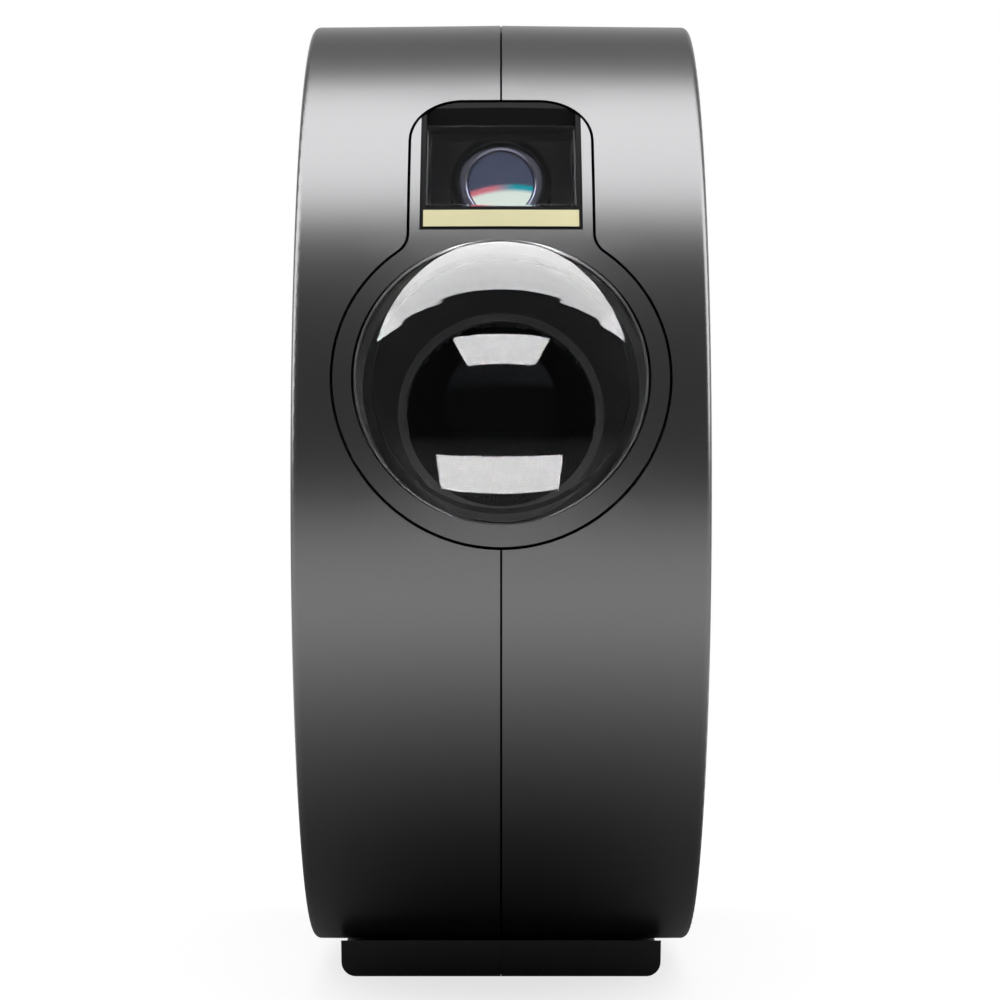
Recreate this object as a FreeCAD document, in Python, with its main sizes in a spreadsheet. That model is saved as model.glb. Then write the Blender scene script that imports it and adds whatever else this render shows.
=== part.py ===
import FreeCAD, Part
import math
import os
import types

import Sketcher

# Planetarium projector: a round metallic drum on a small black stand. The drum stands on edge,
# looks to -Y through a clear dome and a laser window, and tilts about its own axis in the stand.
# The origin is on the table, under the drum's axis. Angles on the drum count from the front, upwards.

SIZES = {
    # drum
    "ground_gap": 4.0,
    "drum_radius": 78.0,
    "drum_width": 62.8,
    "wall": 2.2,
    "edge_draft": 0.3,
    "rim_round": 1.1,
    "seam_gap": 0.04,
    "seam_width": 0.3,
    "seam_depth": 0.3,
    "lip_reach": 1.5,
    "lip_play": 0.1,
    "groove_gap": 0.45,
    "rim_width": 8.0,
    "cover_thickness": 2.2,
    "cover_sink": 0.8,
    "cover_play": 0.2,
    "ledge_depth": 4.0,
    "ledge_thickness": 2.0,
    "vent_inset": 12.0,
    "vent_length": 12.0,
    "vent_width": 3.2,
    "ring_groove_inset": 6.0,
    "ring_groove_width": 1.6,
    "ring_groove_depth": 0.8,
    # keyhole front panel
    "lens_elevation": 11.8,
    "lens_hole_radius": 22.0,
    "flare_foot": 74.8,
    "flare_width": 0.45,
    "bezel_radius": 25.15,
    "neck_half_width": 13.9,
    "neck_top_angle": 50.1,
    "neck_corner": 8.0,
    "neck_fillet": 4.0,
    # laser window
    "window_half_width": 12.3,
    "window_foot_angle": 29.52,
    "window_play": 0.1,
    "window_sink": 0.25,
    "window_depth": 4.5,
    "window_cheek": 0.7,
    "lip_foot_angle": 32.4,
    "lip_top_angle": 49.0,
    "pane_elevation": 45.8,
    "pane_foot_angle": 32.9,
    "pane_length": 19.6,
    "pane_sink": 0.1,
    "pane_thickness": 1.2,
    "pane_rest": 0.8,
    "slope_angle": 35.0,
    "label_foot_angle": 30.0,
    "label_top_angle": 32.25,
    "label_half_width": 11.85,
    "label_thickness": 0.15,
    # dome and barrel, measured along the lens axis from the drum's axis
    "dome_radius": 21.6,
    "dome_curve": 40.0,
    "dome_edge": 75.0,
    "dome_wall": 2.4,
    "dome_flange": 24.0,
    "flange_thickness": 1.4,
    "seal_top": 70.1,
    "seal_thickness": 0.6,
    "barrel_flange": 24.4,
    "barrel_rim": 2.0,
    "barrel_mouth": 20.6,
    "barrel_wall": 1.5,
    "inner_lens_radius": 16.0,
    "inner_lens_edge": 50.4,
    "inner_lens_edge_height": 1.8,
    "inner_lens_curve": 25.0,
    "inner_lens_shoulder": 1.4,
    "inner_lens_back_curve": 24.0,
    "inner_lens_back_shoulder": 1.8,
    "lens_fit": 0.1,
    "retainer_height": 1.2,
    "retainer_width": 1.3,
    # plates that carry the mechanism
    "plate_half_width": 24.0,
    "plate_half_length": 49.0,
    "plate_corner": 6.0,
    "rear_plate_back": 37.0,
    "rear_plate_thickness": 3.0,
    "front_plate_back": 46.5,
    "front_plate_thickness": 2.0,
    "post_radius": 2.6,
    "post_across": 20.0,
    "post_up": 20.0,
    "post_down": 44.0,
    "post_screw_radius": 1.0,
    "post_screw_length": 7.0,
    "post_head_radius": 2.1,
    "post_head_height": 1.0,
    "ear_radius": 4.0,
    "ear_half_width": 4.0,
    # bosses and screws of the two shells
    "boss_inset": 10.6,
    "boss_radius": 4.0,
    "boss_back_angle": 176.0,
    "boss_low_angle": 240.0,
    "boss_play": 0.1,
    "shell_screw_radius": 1.4,
    "shell_head_radius": 2.5,
    "shell_head_height": 2.4,
    "shell_screw_seat": 9.5,
    "shell_screw_reach": 12.0,
    "screw_fit": 0.1,
    # gears
    "gear_module": 0.8,
    "gear_back": 42.0,
    "gear_width": 3.0,
    "gear_play": 0.12,
    "tooth_thinning": 0.22,
    "wheel_drop": 13.5,
    "axle_radius": 1.0,
    "running_fit": 0.05,
    "axle_seat": 1.0,
    "hub_radius": 3.6,
    "hub_flange": 5.4,
    "hub_flange_height": 1.0,
    "hub_end_play": 0.3,
    "ring_width": 2.2,
    "disc_thickness": 1.4,
    "disc_fit": 0.08,
    "idler_hub_radius": 2.6,
    "sleeve_outer": 8.0,
    "sleeve_inner": 6.2,
    "sleeve_shoulder": 9.4,
    "grating_radius": 9.6,
    "grating_thickness": 0.5,
    # motor
    "motor_shaft_radius": 1.5,
    "motor_half_width": 6.0,
    "motor_half_height": 5.0,
    "gearbox_length": 9.0,
    "motor_can_length": 15.0,
    "shaft_socket": 3.0,
    "shaft_hole_play": 0.5,
    "motor_screw_across": 4.5,
    "motor_screw_radius": 0.8,
    "motor_head_radius": 1.4,
    "motor_head_height": 1.0,
    "motor_screw_bite": 2.0,
    # lamp
    "collimator_front": 8.0,
    "collimator_back": 5.0,
    "collimator_flange": 9.4,
    "collimator_flange_height": 1.0,
    "collimator_gap": 0.2,
    "led_board_top": 32.0,
    "led_board_thickness": 1.5,
    "led_board_half": 13.0,
    "led_half": 1.1,
    "led_pitch": 1.5,
    "led_height": 0.8,
    "sink_half_width": 20.0,
    "sink_half_height": 17.0,
    "sink_base": 3.0,
    "sink_fin_height": 16.0,
    "sink_fin_width": 1.6,
    "sink_leg": 2.2,
    "sink_screw_radius": 1.2,
    "sink_head_radius": 2.2,
    "sink_head_height": 1.6,
    # laser
    "laser_lens_radius": 7.0,
    "laser_tube_wall": 1.0,
    "laser_tube_front": 56.0,
    "laser_iris_radius": 5.0,
    "laser_iris_depth": 2.6,
    "laser_iris_wall": 1.0,
    "laser_lens_thickness": 1.6,
    "laser_beam_radius": 3.0,
    "laser_radius": 6.0,
    "laser_nose": 1.8,
    "laser_sink_gap": 1.0,
    "laser_length": 24.0,
    "laser_sink_half_width": 11.0,
    "laser_sink_half_height": 9.5,
    "laser_sink_length": 18.0,
    "laser_slot_width": 1.6,
    "laser_slot_depth": 3.0,
    # rear control strip
    "strip_angle": 130.0,
    "strip_half_span": 31.0,
    "strip_half_width": 13.0,
    "strip_corner": 6.0,
    "strip_sink": 0.3,
    "button_angle": 120.0,
    "button_spacing_angle": 12.0,
    "button_radius": 4.6,
    "button_play": 0.15,
    "button_rise": 0.7,
    "button_flange": 5.8,
    "button_flange_height": 1.4,
    "button_stem_radius": 1.5,
    "button_travel": 0.8,
    "button_gap": 0.3,
    "switch_half": 3.0,
    "switch_height": 3.5,
    "board_top": 58.6,
    "board_thickness": 1.6,
    "board_half_width": 11.6,
    "board_half_length": 25.0,
    "board_post_across": 9.4,
    "board_post_along": 22.0,
    "board_post_radius": 2.0,
    "board_screw_radius": 0.8,
    "board_head_radius": 1.6,
    "board_head_height": 1.2,
    "board_screw_bite": 4.0,
    "jack_angle": 152.0,
    "jack_body_radius": 5.6,
    "jack_nose_radius": 4.2,
    "jack_bore_radius": 2.75,
    "jack_pin_radius": 1.0,
    "jack_length": 13.0,
    "jack_bore_depth": 9.5,
    "jack_play": 0.1,
    # stand
    "foot_inset": 4.6,
    "foot_taper": 0.3,
    "foot_corner": 2.4,
    "foot_front": 21.0,
    "foot_back": 56.0,
    "saddle_height": 20.0,
    "saddle_gap": 0.8,
    "saddle_back_slope": 5.0,
    "pad_gap": 0.3,
    "pad_from_angle": 80.0,
    "pad_sweep": 38.0,
    "pad_across": 12.0,
    "pad_width": 9.0,
    "sole_inset": 4.5,
    "sole_front": 18.0,
    "sole_back": 50.0,
    "sole_corner": 5.0,
    "sole_thickness": 0.6,
    "sole_recess": 0.5,
    # guide between drum and stand
    "slot_half_width": 4.2,
    "slot_from_angle": 102.0,
    "slot_sweep": 76.0,
    "web_half_width": 3.8,
    "guide_from_angle": 103.0,
    "guide_sweep": 24.0,
    "guide_fit": 0.1,
    "guide_fit_angle": 0.3,
    "shoe_half_width": 8.0,
    "shoe_gap": 0.4,
    "shoe_thickness": 2.6,
    "root_half_width": 7.0,
    "root_cover": 2.1,
    "root_thickness": 1.5,
    "stand_screw_radius": 1.3,
    "stand_screw_recess": 15.8,
    "stand_head_radius": 2.6,
    "stand_head_height": 2.0,
    "stand_screw_up": 5.0,
    "stand_screw_front": 34.0,
    "stand_screw_back": 47.0,
    "overrun": 12.0,
}

WHEEL_TEETH = 60
IDLER_TEETH = 16
GRATING_TEETH = 32
PINION_TEETH = 14
VENT_COUNT = 20
SINK_FINS = 8
LASER_SLOTS = 4
BUTTONS = 3
PRESSURE_ANGLE = 20
ADDENDUM_SHARE = 1.0
DEDENDUM_SHARE = 1.25

os.makedirs("parts", exist_ok=True)
doc = FreeCAD.newDocument("planetarium_projector")
sheet = doc.addObject("Spreadsheet::Sheet", "Sizes")
for row, (alias, number) in enumerate(SIZES.items(), start=1):
    sheet.set("A%d" % row, alias)
    sheet.set("B%d" % row, str(number))
    sheet.setAlias("B%d" % row, alias)
doc.recompute()


class Size:
    """A value of the sheet, or a sum of such values, with the expression that yields it."""

    def __init__(self, number, text):
        self.number = number
        self.text = text

    def __add__(self, other):
        return joined(self, "+", other)

    def __radd__(self, other):
        return joined(other, "+", self)

    def __sub__(self, other):
        return joined(self, "-", other)

    def __rsub__(self, other):
        return joined(other, "-", self)

    def __mul__(self, other):
        return joined(self, "*", other)

    def __rmul__(self, other):
        return joined(other, "*", self)

    def __truediv__(self, other):
        return joined(self, "/", other)

    def __neg__(self):
        return joined(0, "-", self)


def as_size(value):
    return value if isinstance(value, Size) else Size(float(value), repr(value))


def joined(first, sign, second):
    first = as_size(first)
    second = as_size(second)
    results = {
        "+": lambda a, b: a + b,
        "-": lambda a, b: a - b,
        "*": lambda a, b: a * b,
        "/": lambda a, b: a / b,
    }
    number = results[sign](first.number, second.number)
    return Size(number, "(%s %s %s)" % (first.text, sign, second.text))


def root(value):
    return Size(math.sqrt(value.number), "sqrt(%s)" % value.text)


def sine(angle):
    angle = as_size(angle)
    return Size(math.sin(math.radians(angle.number)), "sin(%s)" % angle.text)


def cosine(angle):
    angle = as_size(angle)
    return Size(math.cos(math.radians(angle.number)), "cos(%s)" % angle.text)


def leg(hypotenuse, other):
    """The other leg of a right triangle."""
    return root(hypotenuse * hypotenuse - other * other)


dim = types.SimpleNamespace(**{alias: Size(n, "Sizes." + alias) for alias, n in SIZES.items()})
AXIS_HEIGHT = dim.drum_radius + dim.ground_gap
PARTS = []


def bind(thing, path, value):
    thing.setExpression(path, as_size(value).text)


def new_body(label, angle=None, up=0, across=0, out=0):
    """A body at the drum's centre; with an angle its Z points outwards there and its Y upwards."""
    body = doc.addObject("PartDesign::Body", label)
    body.Label = label
    turn = 0 if angle is None else 90 - as_size(angle)
    if as_size(turn).number < 0:
        turn = 360 + turn
    body.Placement = FreeCAD.Placement(
        FreeCAD.Vector(0, 0, 0), FreeCAD.Rotation(FreeCAD.Vector(1, 0, 0), as_size(turn).number)
    )
    if angle is not None:
        bind(body, "Placement.Rotation.Angle", turn)
        bind(body, "Placement.Base.y", up * sine(angle) - out * cosine(angle))
        bind(body, "Placement.Base.z", AXIS_HEIGHT + up * cosine(angle) + out * sine(angle))
    else:
        bind(body, "Placement.Base.z", AXIS_HEIGHT + up)
    bind(body, "Placement.Base.x", across)
    PARTS.append(body)
    return body


def origin_feature(body, role):
    return [item for item in body.Origin.OriginFeatures if item.Role == role][0]


def hold(drawing, geometry, end, x, y):
    """Pins one end of a line or arc, or a circle's centre, to its place."""
    for kind, value, axis in (("DistanceX", x, -2), ("DistanceY", y, -1)):
        if isinstance(value, (int, float)) and value == 0:
            drawing.addConstraint(Sketcher.Constraint("PointOnObject", geometry, end, axis))
            continue
        number = as_size(value).number
        index = drawing.addConstraint(Sketcher.Constraint(kind, -1, 1, geometry, end, number))
        bind(drawing, "Constraints[%d]" % index, value)


def hold_radius(drawing, geometry, radius):
    number = as_size(radius).number
    index = drawing.addConstraint(Sketcher.Constraint("Radius", geometry, number))
    bind(drawing, "Constraints[%d]" % index, radius)


def arc_between(start, end, radius):
    """The short arc from start to end; a positive radius turns anticlockwise."""
    if radius < 0:
        start, end = end, start
    chord = end - start
    middle = (start + end) * 0.5
    rise = math.sqrt(max(radius * radius - chord.Length * chord.Length / 4, 0))
    centre = middle + FreeCAD.Vector(-chord.y, chord.x, 0).normalize() * rise
    first = math.atan2(start.y - centre.y, start.x - centre.x)
    last = math.atan2(end.y - centre.y, end.x - centre.x)
    if last < first:
        last += 2 * math.pi
    circle = Part.Circle(centre, FreeCAD.Vector(0, 0, 1), abs(radius))
    return Part.ArcOfCircle(circle, first, last)


def draw_outline(drawing, corners):
    """Closed outline of corners (x, y); a third value is the radius of the arc leading there."""
    points = [FreeCAD.Vector(as_size(c[0]).number, as_size(c[1]).number, 0) for c in corners]
    first = len(drawing.Geometry)
    count = len(corners)
    starts = []
    ends = []
    for i in range(count):
        after = corners[(i + 1) % count]
        here = points[i]
        there = points[(i + 1) % count]
        if len(after) == 3:
            drawing.addGeometry(arc_between(here, there, as_size(after[2]).number))
            backwards = as_size(after[2]).number < 0
        else:
            drawing.addGeometry(Part.LineSegment(here, there))
            backwards = False
        starts.append(2 if backwards else 1)
        ends.append(1 if backwards else 2)
    for i in range(count):
        j = (i + 1) % count
        joint = Sketcher.Constraint("Coincident", first + i, ends[i], first + j, starts[j])
        drawing.addConstraint(joint)
    for i in range(count):
        hold(drawing, first + i, starts[i], corners[i][0], corners[i][1])
        after = corners[(i + 1) % count]
        if len(after) == 3:
            flip = as_size(after[2]).number < 0
            hold_radius(drawing, first + i, -after[2] if flip else after[2])


def sketch(body, plane, outlines, turn=None, lift=None):
    """Outlines on one of the body's planes, turned about X by turn and lifted along the normal.

    An outline is a list of corners, or a tuple (x, y, radius) for a circle.
    """
    drawing = body.newObject("Sketcher::SketchObject", body.Label + "_sketch")
    drawing.AttachmentSupport = [(origin_feature(body, plane), "")]
    drawing.MapMode = "FlatFace"
    for outline in outlines:
        if isinstance(outline, tuple):
            x, y, radius = outline
            centre = FreeCAD.Vector(as_size(x).number, as_size(y).number, 0)
            circle = Part.Circle(centre, FreeCAD.Vector(0, 0, 1), as_size(radius).number)
            index = drawing.addGeometry(circle)
            hold(drawing, index, 3, x, y)
            hold_radius(drawing, index, radius)
        else:
            draw_outline(drawing, outline)
    if turn is not None:
        sense = 1 if plane == "XY_Plane" else -1
        axis = FreeCAD.Vector(sense, 0, 0)
        drawing.AttachmentOffset = FreeCAD.Placement(
            FreeCAD.Vector(0, 0, 0), FreeCAD.Rotation(axis, as_size(turn).number)
        )
        bind(drawing, "AttachmentOffset.Rotation.Angle", turn)
        if lift is not None and plane == "XZ_Plane":
            bind(drawing, "AttachmentOffset.Base.y", lift * sine(turn))
            bind(drawing, "AttachmentOffset.Base.z", lift * cosine(turn))
            return drawing
    if lift is not None:
        bind(drawing, "AttachmentOffset.Base.z", lift)
    return drawing


def checked(body, feature, grows, before):
    doc.recompute()
    after = body.Shape.Volume
    if "Invalid" in feature.State or "Error" in feature.State:
        raise RuntimeError("%s failed on %s" % (feature.Label, body.Label))
    if grows and after <= before or not grows and after >= before:
        raise RuntimeError("%s changed nothing on %s" % (feature.Label, body.Label))
    return feature


def volume(body):
    return 0.0 if body.Shape.isNull() else body.Shape.Volume


def pad(body, drawing, length):
    before = volume(body)
    feature = body.newObject("PartDesign::Pad", body.Label + "_pad")
    feature.Profile = drawing
    bind(feature, "Length", length)
    return checked(body, feature, True, before)


def cut(body, drawing, length):
    """A pocket along the sketch's normal."""
    before = volume(body)
    feature = body.newObject("PartDesign::Pocket", body.Label + "_pocket")
    feature.Profile = drawing
    feature.Reversed = True
    bind(feature, "Length", length)
    return checked(body, feature, False, before)


def revolve(body, drawing, axis="H_Axis", angle=None):
    before = volume(body)
    feature = body.newObject("PartDesign::Revolution", body.Label + "_revolution")
    feature.Profile = drawing
    feature.ReferenceAxis = (drawing, [axis])
    feature.Angle = 360
    if angle is not None:
        bind(feature, "Angle", angle)
    return checked(body, feature, True, before)


def groove(body, drawing, axis="H_Axis", angle=None):
    before = volume(body)
    feature = body.newObject("PartDesign::Groove", body.Label + "_groove")
    feature.Profile = drawing
    feature.ReferenceAxis = (drawing, [axis])
    feature.Angle = 360
    if angle is not None:
        bind(feature, "Angle", angle)
    return checked(body, feature, False, before)


def round_pattern(body, feature, count, axis="Z_Axis"):
    before = volume(body)
    pattern = body.newObject("PartDesign::PolarPattern", body.Label + "_pattern")
    pattern.Originals = [feature]
    pattern.Axis = (origin_feature(body, axis), [""])
    pattern.Angle = 360
    pattern.Occurrences = count
    body.Tip = pattern
    return checked(body, pattern, False, before)


def box(left, low, right, high):
    return [(left, low), (right, low), (right, high), (left, high)]


def centred_box(half_x, half_y, x=0, y=0):
    return box(x - half_x, y - half_y, x + half_x, y + half_y)


def rounded_box(half_x, low, high, corner):
    inner = half_x - corner
    return [
        (-inner, low, corner),
        (inner, low),
        (half_x, low + corner, corner),
        (half_x, high - corner),
        (inner, high, corner),
        (-inner, high),
        (-half_x, high - corner, corner),
        (-half_x, low + corner),
    ]


HALF_WIDTH = dim.drum_width / 2
LIP_END = dim.lip_reach + dim.lip_play
COVER_RADIUS = dim.drum_radius - dim.rim_width
RING_GROOVE = COVER_RADIUS - dim.ring_groove_inset
VENT_INNER = COVER_RADIUS - dim.vent_inset - dim.vent_length
BOSS_CIRCLE = dim.drum_radius - dim.boss_inset
FOOT_HALF_WIDTH = HALF_WIDTH - dim.foot_inset
FOOT_HALF_LOW = FOOT_HALF_WIDTH - dim.foot_taper
STAND_SCREW_REACH = FOOT_HALF_WIDTH - dim.stand_screw_recess
COVER_BACK = HALF_WIDTH - dim.cover_sink - dim.cover_thickness
LEDGE_BACK = COVER_BACK - dim.ledge_thickness
NECK_TOP = dim.drum_radius * sine(dim.neck_top_angle - dim.lens_elevation)
NECK_SHOULDER = NECK_TOP - dim.neck_corner
KEYHOLE_BASE = dim.drum_radius * cosine(dim.neck_top_angle - dim.lens_elevation) - dim.overrun
KEYHOLE_HEIGHT = dim.drum_radius + dim.overrun / 4 - KEYHOLE_BASE
WINDOW_FOOT = dim.drum_radius * sine(dim.window_foot_angle - dim.lens_elevation)
STRIP_HALF_LENGTH = dim.drum_radius * sine(dim.strip_half_span)

REAR_PLATE_FRONT = dim.rear_plate_back + dim.rear_plate_thickness
FRONT_PLATE_FRONT = dim.front_plate_back + dim.front_plate_thickness
EAR_OUT = dim.rear_plate_back + dim.rear_plate_thickness / 2
EAR_UP = leg(BOSS_CIRCLE, EAR_OUT)
GEAR_FRONT = dim.gear_back + dim.gear_width

WHEEL_UP = -dim.wheel_drop
IDLER_UP = WHEEL_UP + dim.gear_module * ((WHEEL_TEETH + IDLER_TEETH) / 2) + dim.gear_play
LASER_UP = IDLER_UP + dim.gear_module * ((IDLER_TEETH + GRATING_TEETH) / 2) + dim.gear_play
MOTOR_UP = WHEEL_UP - dim.gear_module * ((WHEEL_TEETH + PINION_TEETH) / 2) - dim.gear_play

SLEEVE_TOP = GEAR_FRONT - dim.hub_end_play
TUBE_OUTER = dim.laser_lens_radius + dim.laser_tube_wall
SEAL_BOTTOM = dim.seal_top - dim.seal_thickness
FLANGE_TOP = dim.seal_top + dim.flange_thickness
BARREL_RIM_BACK = SEAL_BOTTOM - dim.barrel_rim
LENS_SEAT = dim.inner_lens_radius + dim.lens_fit
LENS_EDGE_TOP = dim.inner_lens_edge + dim.inner_lens_edge_height
CONE_FOOT = LENS_EDGE_TOP + dim.retainer_height


def lens_point(up, out):
    """Y and Z, from the drum's centre, of a point given along and across the lens axis."""
    e = dim.lens_elevation
    return up * sine(e) - out * cosine(e), up * cosine(e) + out * sine(e)


def drum_point(radius, angle):
    return -radius * cosine(angle), radius * sine(angle)


def trim_above(body, sink):
    """Cuts off what stands out of the drum's surface, which falls from the seam to both sides."""
    edge = dim.drum_radius - dim.edge_draft - sink
    far = dim.drum_radius + 2 * dim.overrun
    profile = [
        (-HALF_WIDTH, edge),
        (0, dim.drum_radius - sink),
        (HALF_WIDTH, edge),
        (HALF_WIDTH, far),
        (-HALF_WIDTH, far),
    ]
    return groove(body, sketch(body, "XY_Plane", [profile]))


def trim_below(body, sink):
    edge = dim.drum_radius - dim.edge_draft - sink
    profile = [
        (-HALF_WIDTH, 0),
        (HALF_WIDTH, 0),
        (HALF_WIDTH, edge),
        (0, dim.drum_radius - sink),
        (-HALF_WIDTH, edge),
    ]
    return groove(body, sketch(body, "XY_Plane", [profile]))


def keyhole(grow=0):
    """Circle with a neck and small fillets between them, seen along the lens axis."""
    circle = dim.bezel_radius + grow
    neck = dim.neck_half_width + grow
    fillet = dim.neck_fillet - grow
    corner = dim.neck_corner + grow
    top = NECK_TOP + grow
    reach = circle + fillet
    rise = leg(reach, neck + fillet)
    touch_x = (neck + fillet) * circle / reach
    touch_y = rise * circle / reach
    return [
        (0, -circle, circle),
        (touch_x, touch_y, circle),
        (neck, rise, -fillet),
        (neck, top - corner),
        (neck - corner, top, corner),
        (-(neck - corner), top),
        (-neck, top - corner, corner),
        (-neck, rise),
        (-touch_x, touch_y, -fillet),
    ]


def make_shell(label, side):
    """One half of the drum: the rim, its ledge for the side cover, bosses and all openings.

    At the seam the left half carries a lip, half as thick as the wall, under the right half.
    """
    body = new_body(label)
    rim = dim.drum_radius - dim.edge_draft
    inner = dim.drum_radius - dim.wall
    lip_end = LIP_END if side > 0 else dim.lip_reach
    lip_top = dim.drum_radius - dim.wall / 2 + side * dim.lip_play / 2
    profile = [
        (side * dim.seam_gap / 2, dim.drum_radius - dim.seam_depth),
        (side * dim.seam_width / 2, dim.drum_radius),
        (side * (HALF_WIDTH - dim.rim_round), rim),
        (side * HALF_WIDTH, rim - dim.rim_round, -side * dim.rim_round),
        (side * HALF_WIDTH, COVER_RADIUS + dim.cover_play),
        (side * COVER_BACK, COVER_RADIUS + dim.cover_play),
        (side * COVER_BACK, COVER_RADIUS - dim.ledge_depth),
        (side * LEDGE_BACK, COVER_RADIUS - dim.ledge_depth),
        (side * LEDGE_BACK, rim - dim.wall),
        (lip_end, inner),
        (lip_end, lip_top),
        (side * dim.seam_gap / 2, lip_top),
    ]
    revolve(body, sketch(body, "XY_Plane", [profile]))
    ear_end = dim.ear_half_width + dim.boss_play
    bosses = [
        (lens_point(EAR_UP, EAR_OUT), ear_end),
        (lens_point(-EAR_UP, EAR_OUT), ear_end),
        (drum_point(BOSS_CIRCLE, dim.boss_back_angle), dim.seam_gap / 2),
        (drum_point(BOSS_CIRCLE, dim.boss_low_angle), dim.seam_gap / 2),
    ]
    end = LEDGE_BACK + dim.ledge_thickness / 2
    for (y, z), start in bosses:
        lift = start if side > 0 else -end
        circle = sketch(body, "YZ_Plane", [(y, z, dim.boss_radius)], lift=lift)
        pad(body, circle, end - start)
    places = [place for place, start in bosses]
    hole = dim.shell_screw_radius + dim.screw_fit
    head = dim.shell_head_radius + dim.screw_fit
    shanks = [(y, z, hole) for y, z in places]
    if side > 0:
        heads = [(y, z, head) for y, z in places]
        cut(body, sketch(body, "YZ_Plane", heads, lift=dim.shell_screw_seat), dim.overrun * 2)
        cut(body, sketch(body, "YZ_Plane", shanks), dim.shell_screw_seat)
    else:
        depth = dim.shell_screw_reach + dim.boss_play
        cut(body, sketch(body, "YZ_Plane", shanks, lift=-depth), depth)
    front = sketch(body, "XZ_Plane", [keyhole(dim.groove_gap)], turn=dim.lens_elevation)
    cut(body, front, dim.drum_radius + dim.overrun)
    cut(body, strip_sketch(body, dim.groove_gap), dim.drum_radius + dim.overrun)
    slot = [
        (-side * LIP_END, dim.drum_radius - dim.overrun / 2),
        (side * dim.slot_half_width, dim.drum_radius - dim.overrun / 2),
        (side * dim.slot_half_width, dim.drum_radius + dim.overrun),
        (-side * LIP_END, dim.drum_radius + dim.overrun),
    ]
    start_turn = 180 + dim.slot_from_angle
    groove(body, sketch(body, "XY_Plane", [slot], turn=start_turn), angle=dim.slot_sweep)
    return body


def strip_sketch(body, grow=0, lift=None):
    half_length = STRIP_HALF_LENGTH + grow
    outline = rounded_box(
        dim.strip_half_width + grow, -half_length, half_length, dim.strip_corner + grow
    )
    return sketch(body, "XZ_Plane", [outline], turn=dim.strip_angle, lift=lift)


def make_cover(label, side):
    """Side disc with a ring groove and a ring of vents, let into the shell."""
    body = new_body(label)
    front = COVER_BACK + dim.cover_thickness
    profile = [
        (side * COVER_BACK, 0),
        (side * front, 0),
        (side * front, RING_GROOVE - dim.ring_groove_width / 2),
        (side * (front - dim.ring_groove_depth), RING_GROOVE - dim.ring_groove_width / 2),
        (side * (front - dim.ring_groove_depth), RING_GROOVE + dim.ring_groove_width / 2),
        (side * front, RING_GROOVE + dim.ring_groove_width / 2),
        (side * front, COVER_RADIUS),
        (side * COVER_BACK, COVER_RADIUS),
    ]
    revolve(body, sketch(body, "XY_Plane", [profile]))
    half = dim.vent_width / 2
    vent = box(-half, VENT_INNER, half, VENT_INNER + dim.vent_length)
    lift = COVER_BACK - dim.overrun / 4 if side > 0 else -(front + dim.overrun / 4)
    vent_cut = cut(body, sketch(body, "YZ_Plane", [vent], lift=lift), dim.overrun)
    round_pattern(body, vent_cut, VENT_COUNT, "X_Axis")
    return body


def make_bezel():
    """Keyhole panel flush with the drum: a lens hole that flares outwards, a window opening."""
    body = new_body("front_bezel")
    outline = sketch(body, "XZ_Plane", [keyhole()], turn=dim.lens_elevation, lift=KEYHOLE_BASE)
    pad(body, outline, KEYHOLE_HEIGHT)
    trim_above(body, 0)
    trim_below(body, dim.wall)
    wide = dim.lens_hole_radius + dim.flare_width
    far = dim.drum_radius + dim.overrun
    hole = [
        (0, KEYHOLE_BASE),
        (dim.lens_hole_radius, KEYHOLE_BASE),
        (dim.lens_hole_radius, dim.flare_foot),
        (wide, dim.drum_radius),
        (wide, far),
        (0, far),
    ]
    groove(body, sketch(body, "XY_Plane", [hole], turn=180 - dim.lens_elevation), "V_Axis")
    half = dim.window_half_width + dim.window_play
    opening = box(-half, WINDOW_FOOT, half, NECK_TOP + dim.overrun)
    cut(body, sketch(body, "XZ_Plane", [opening], turn=dim.lens_elevation), dim.drum_radius * 2)
    return body


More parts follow.
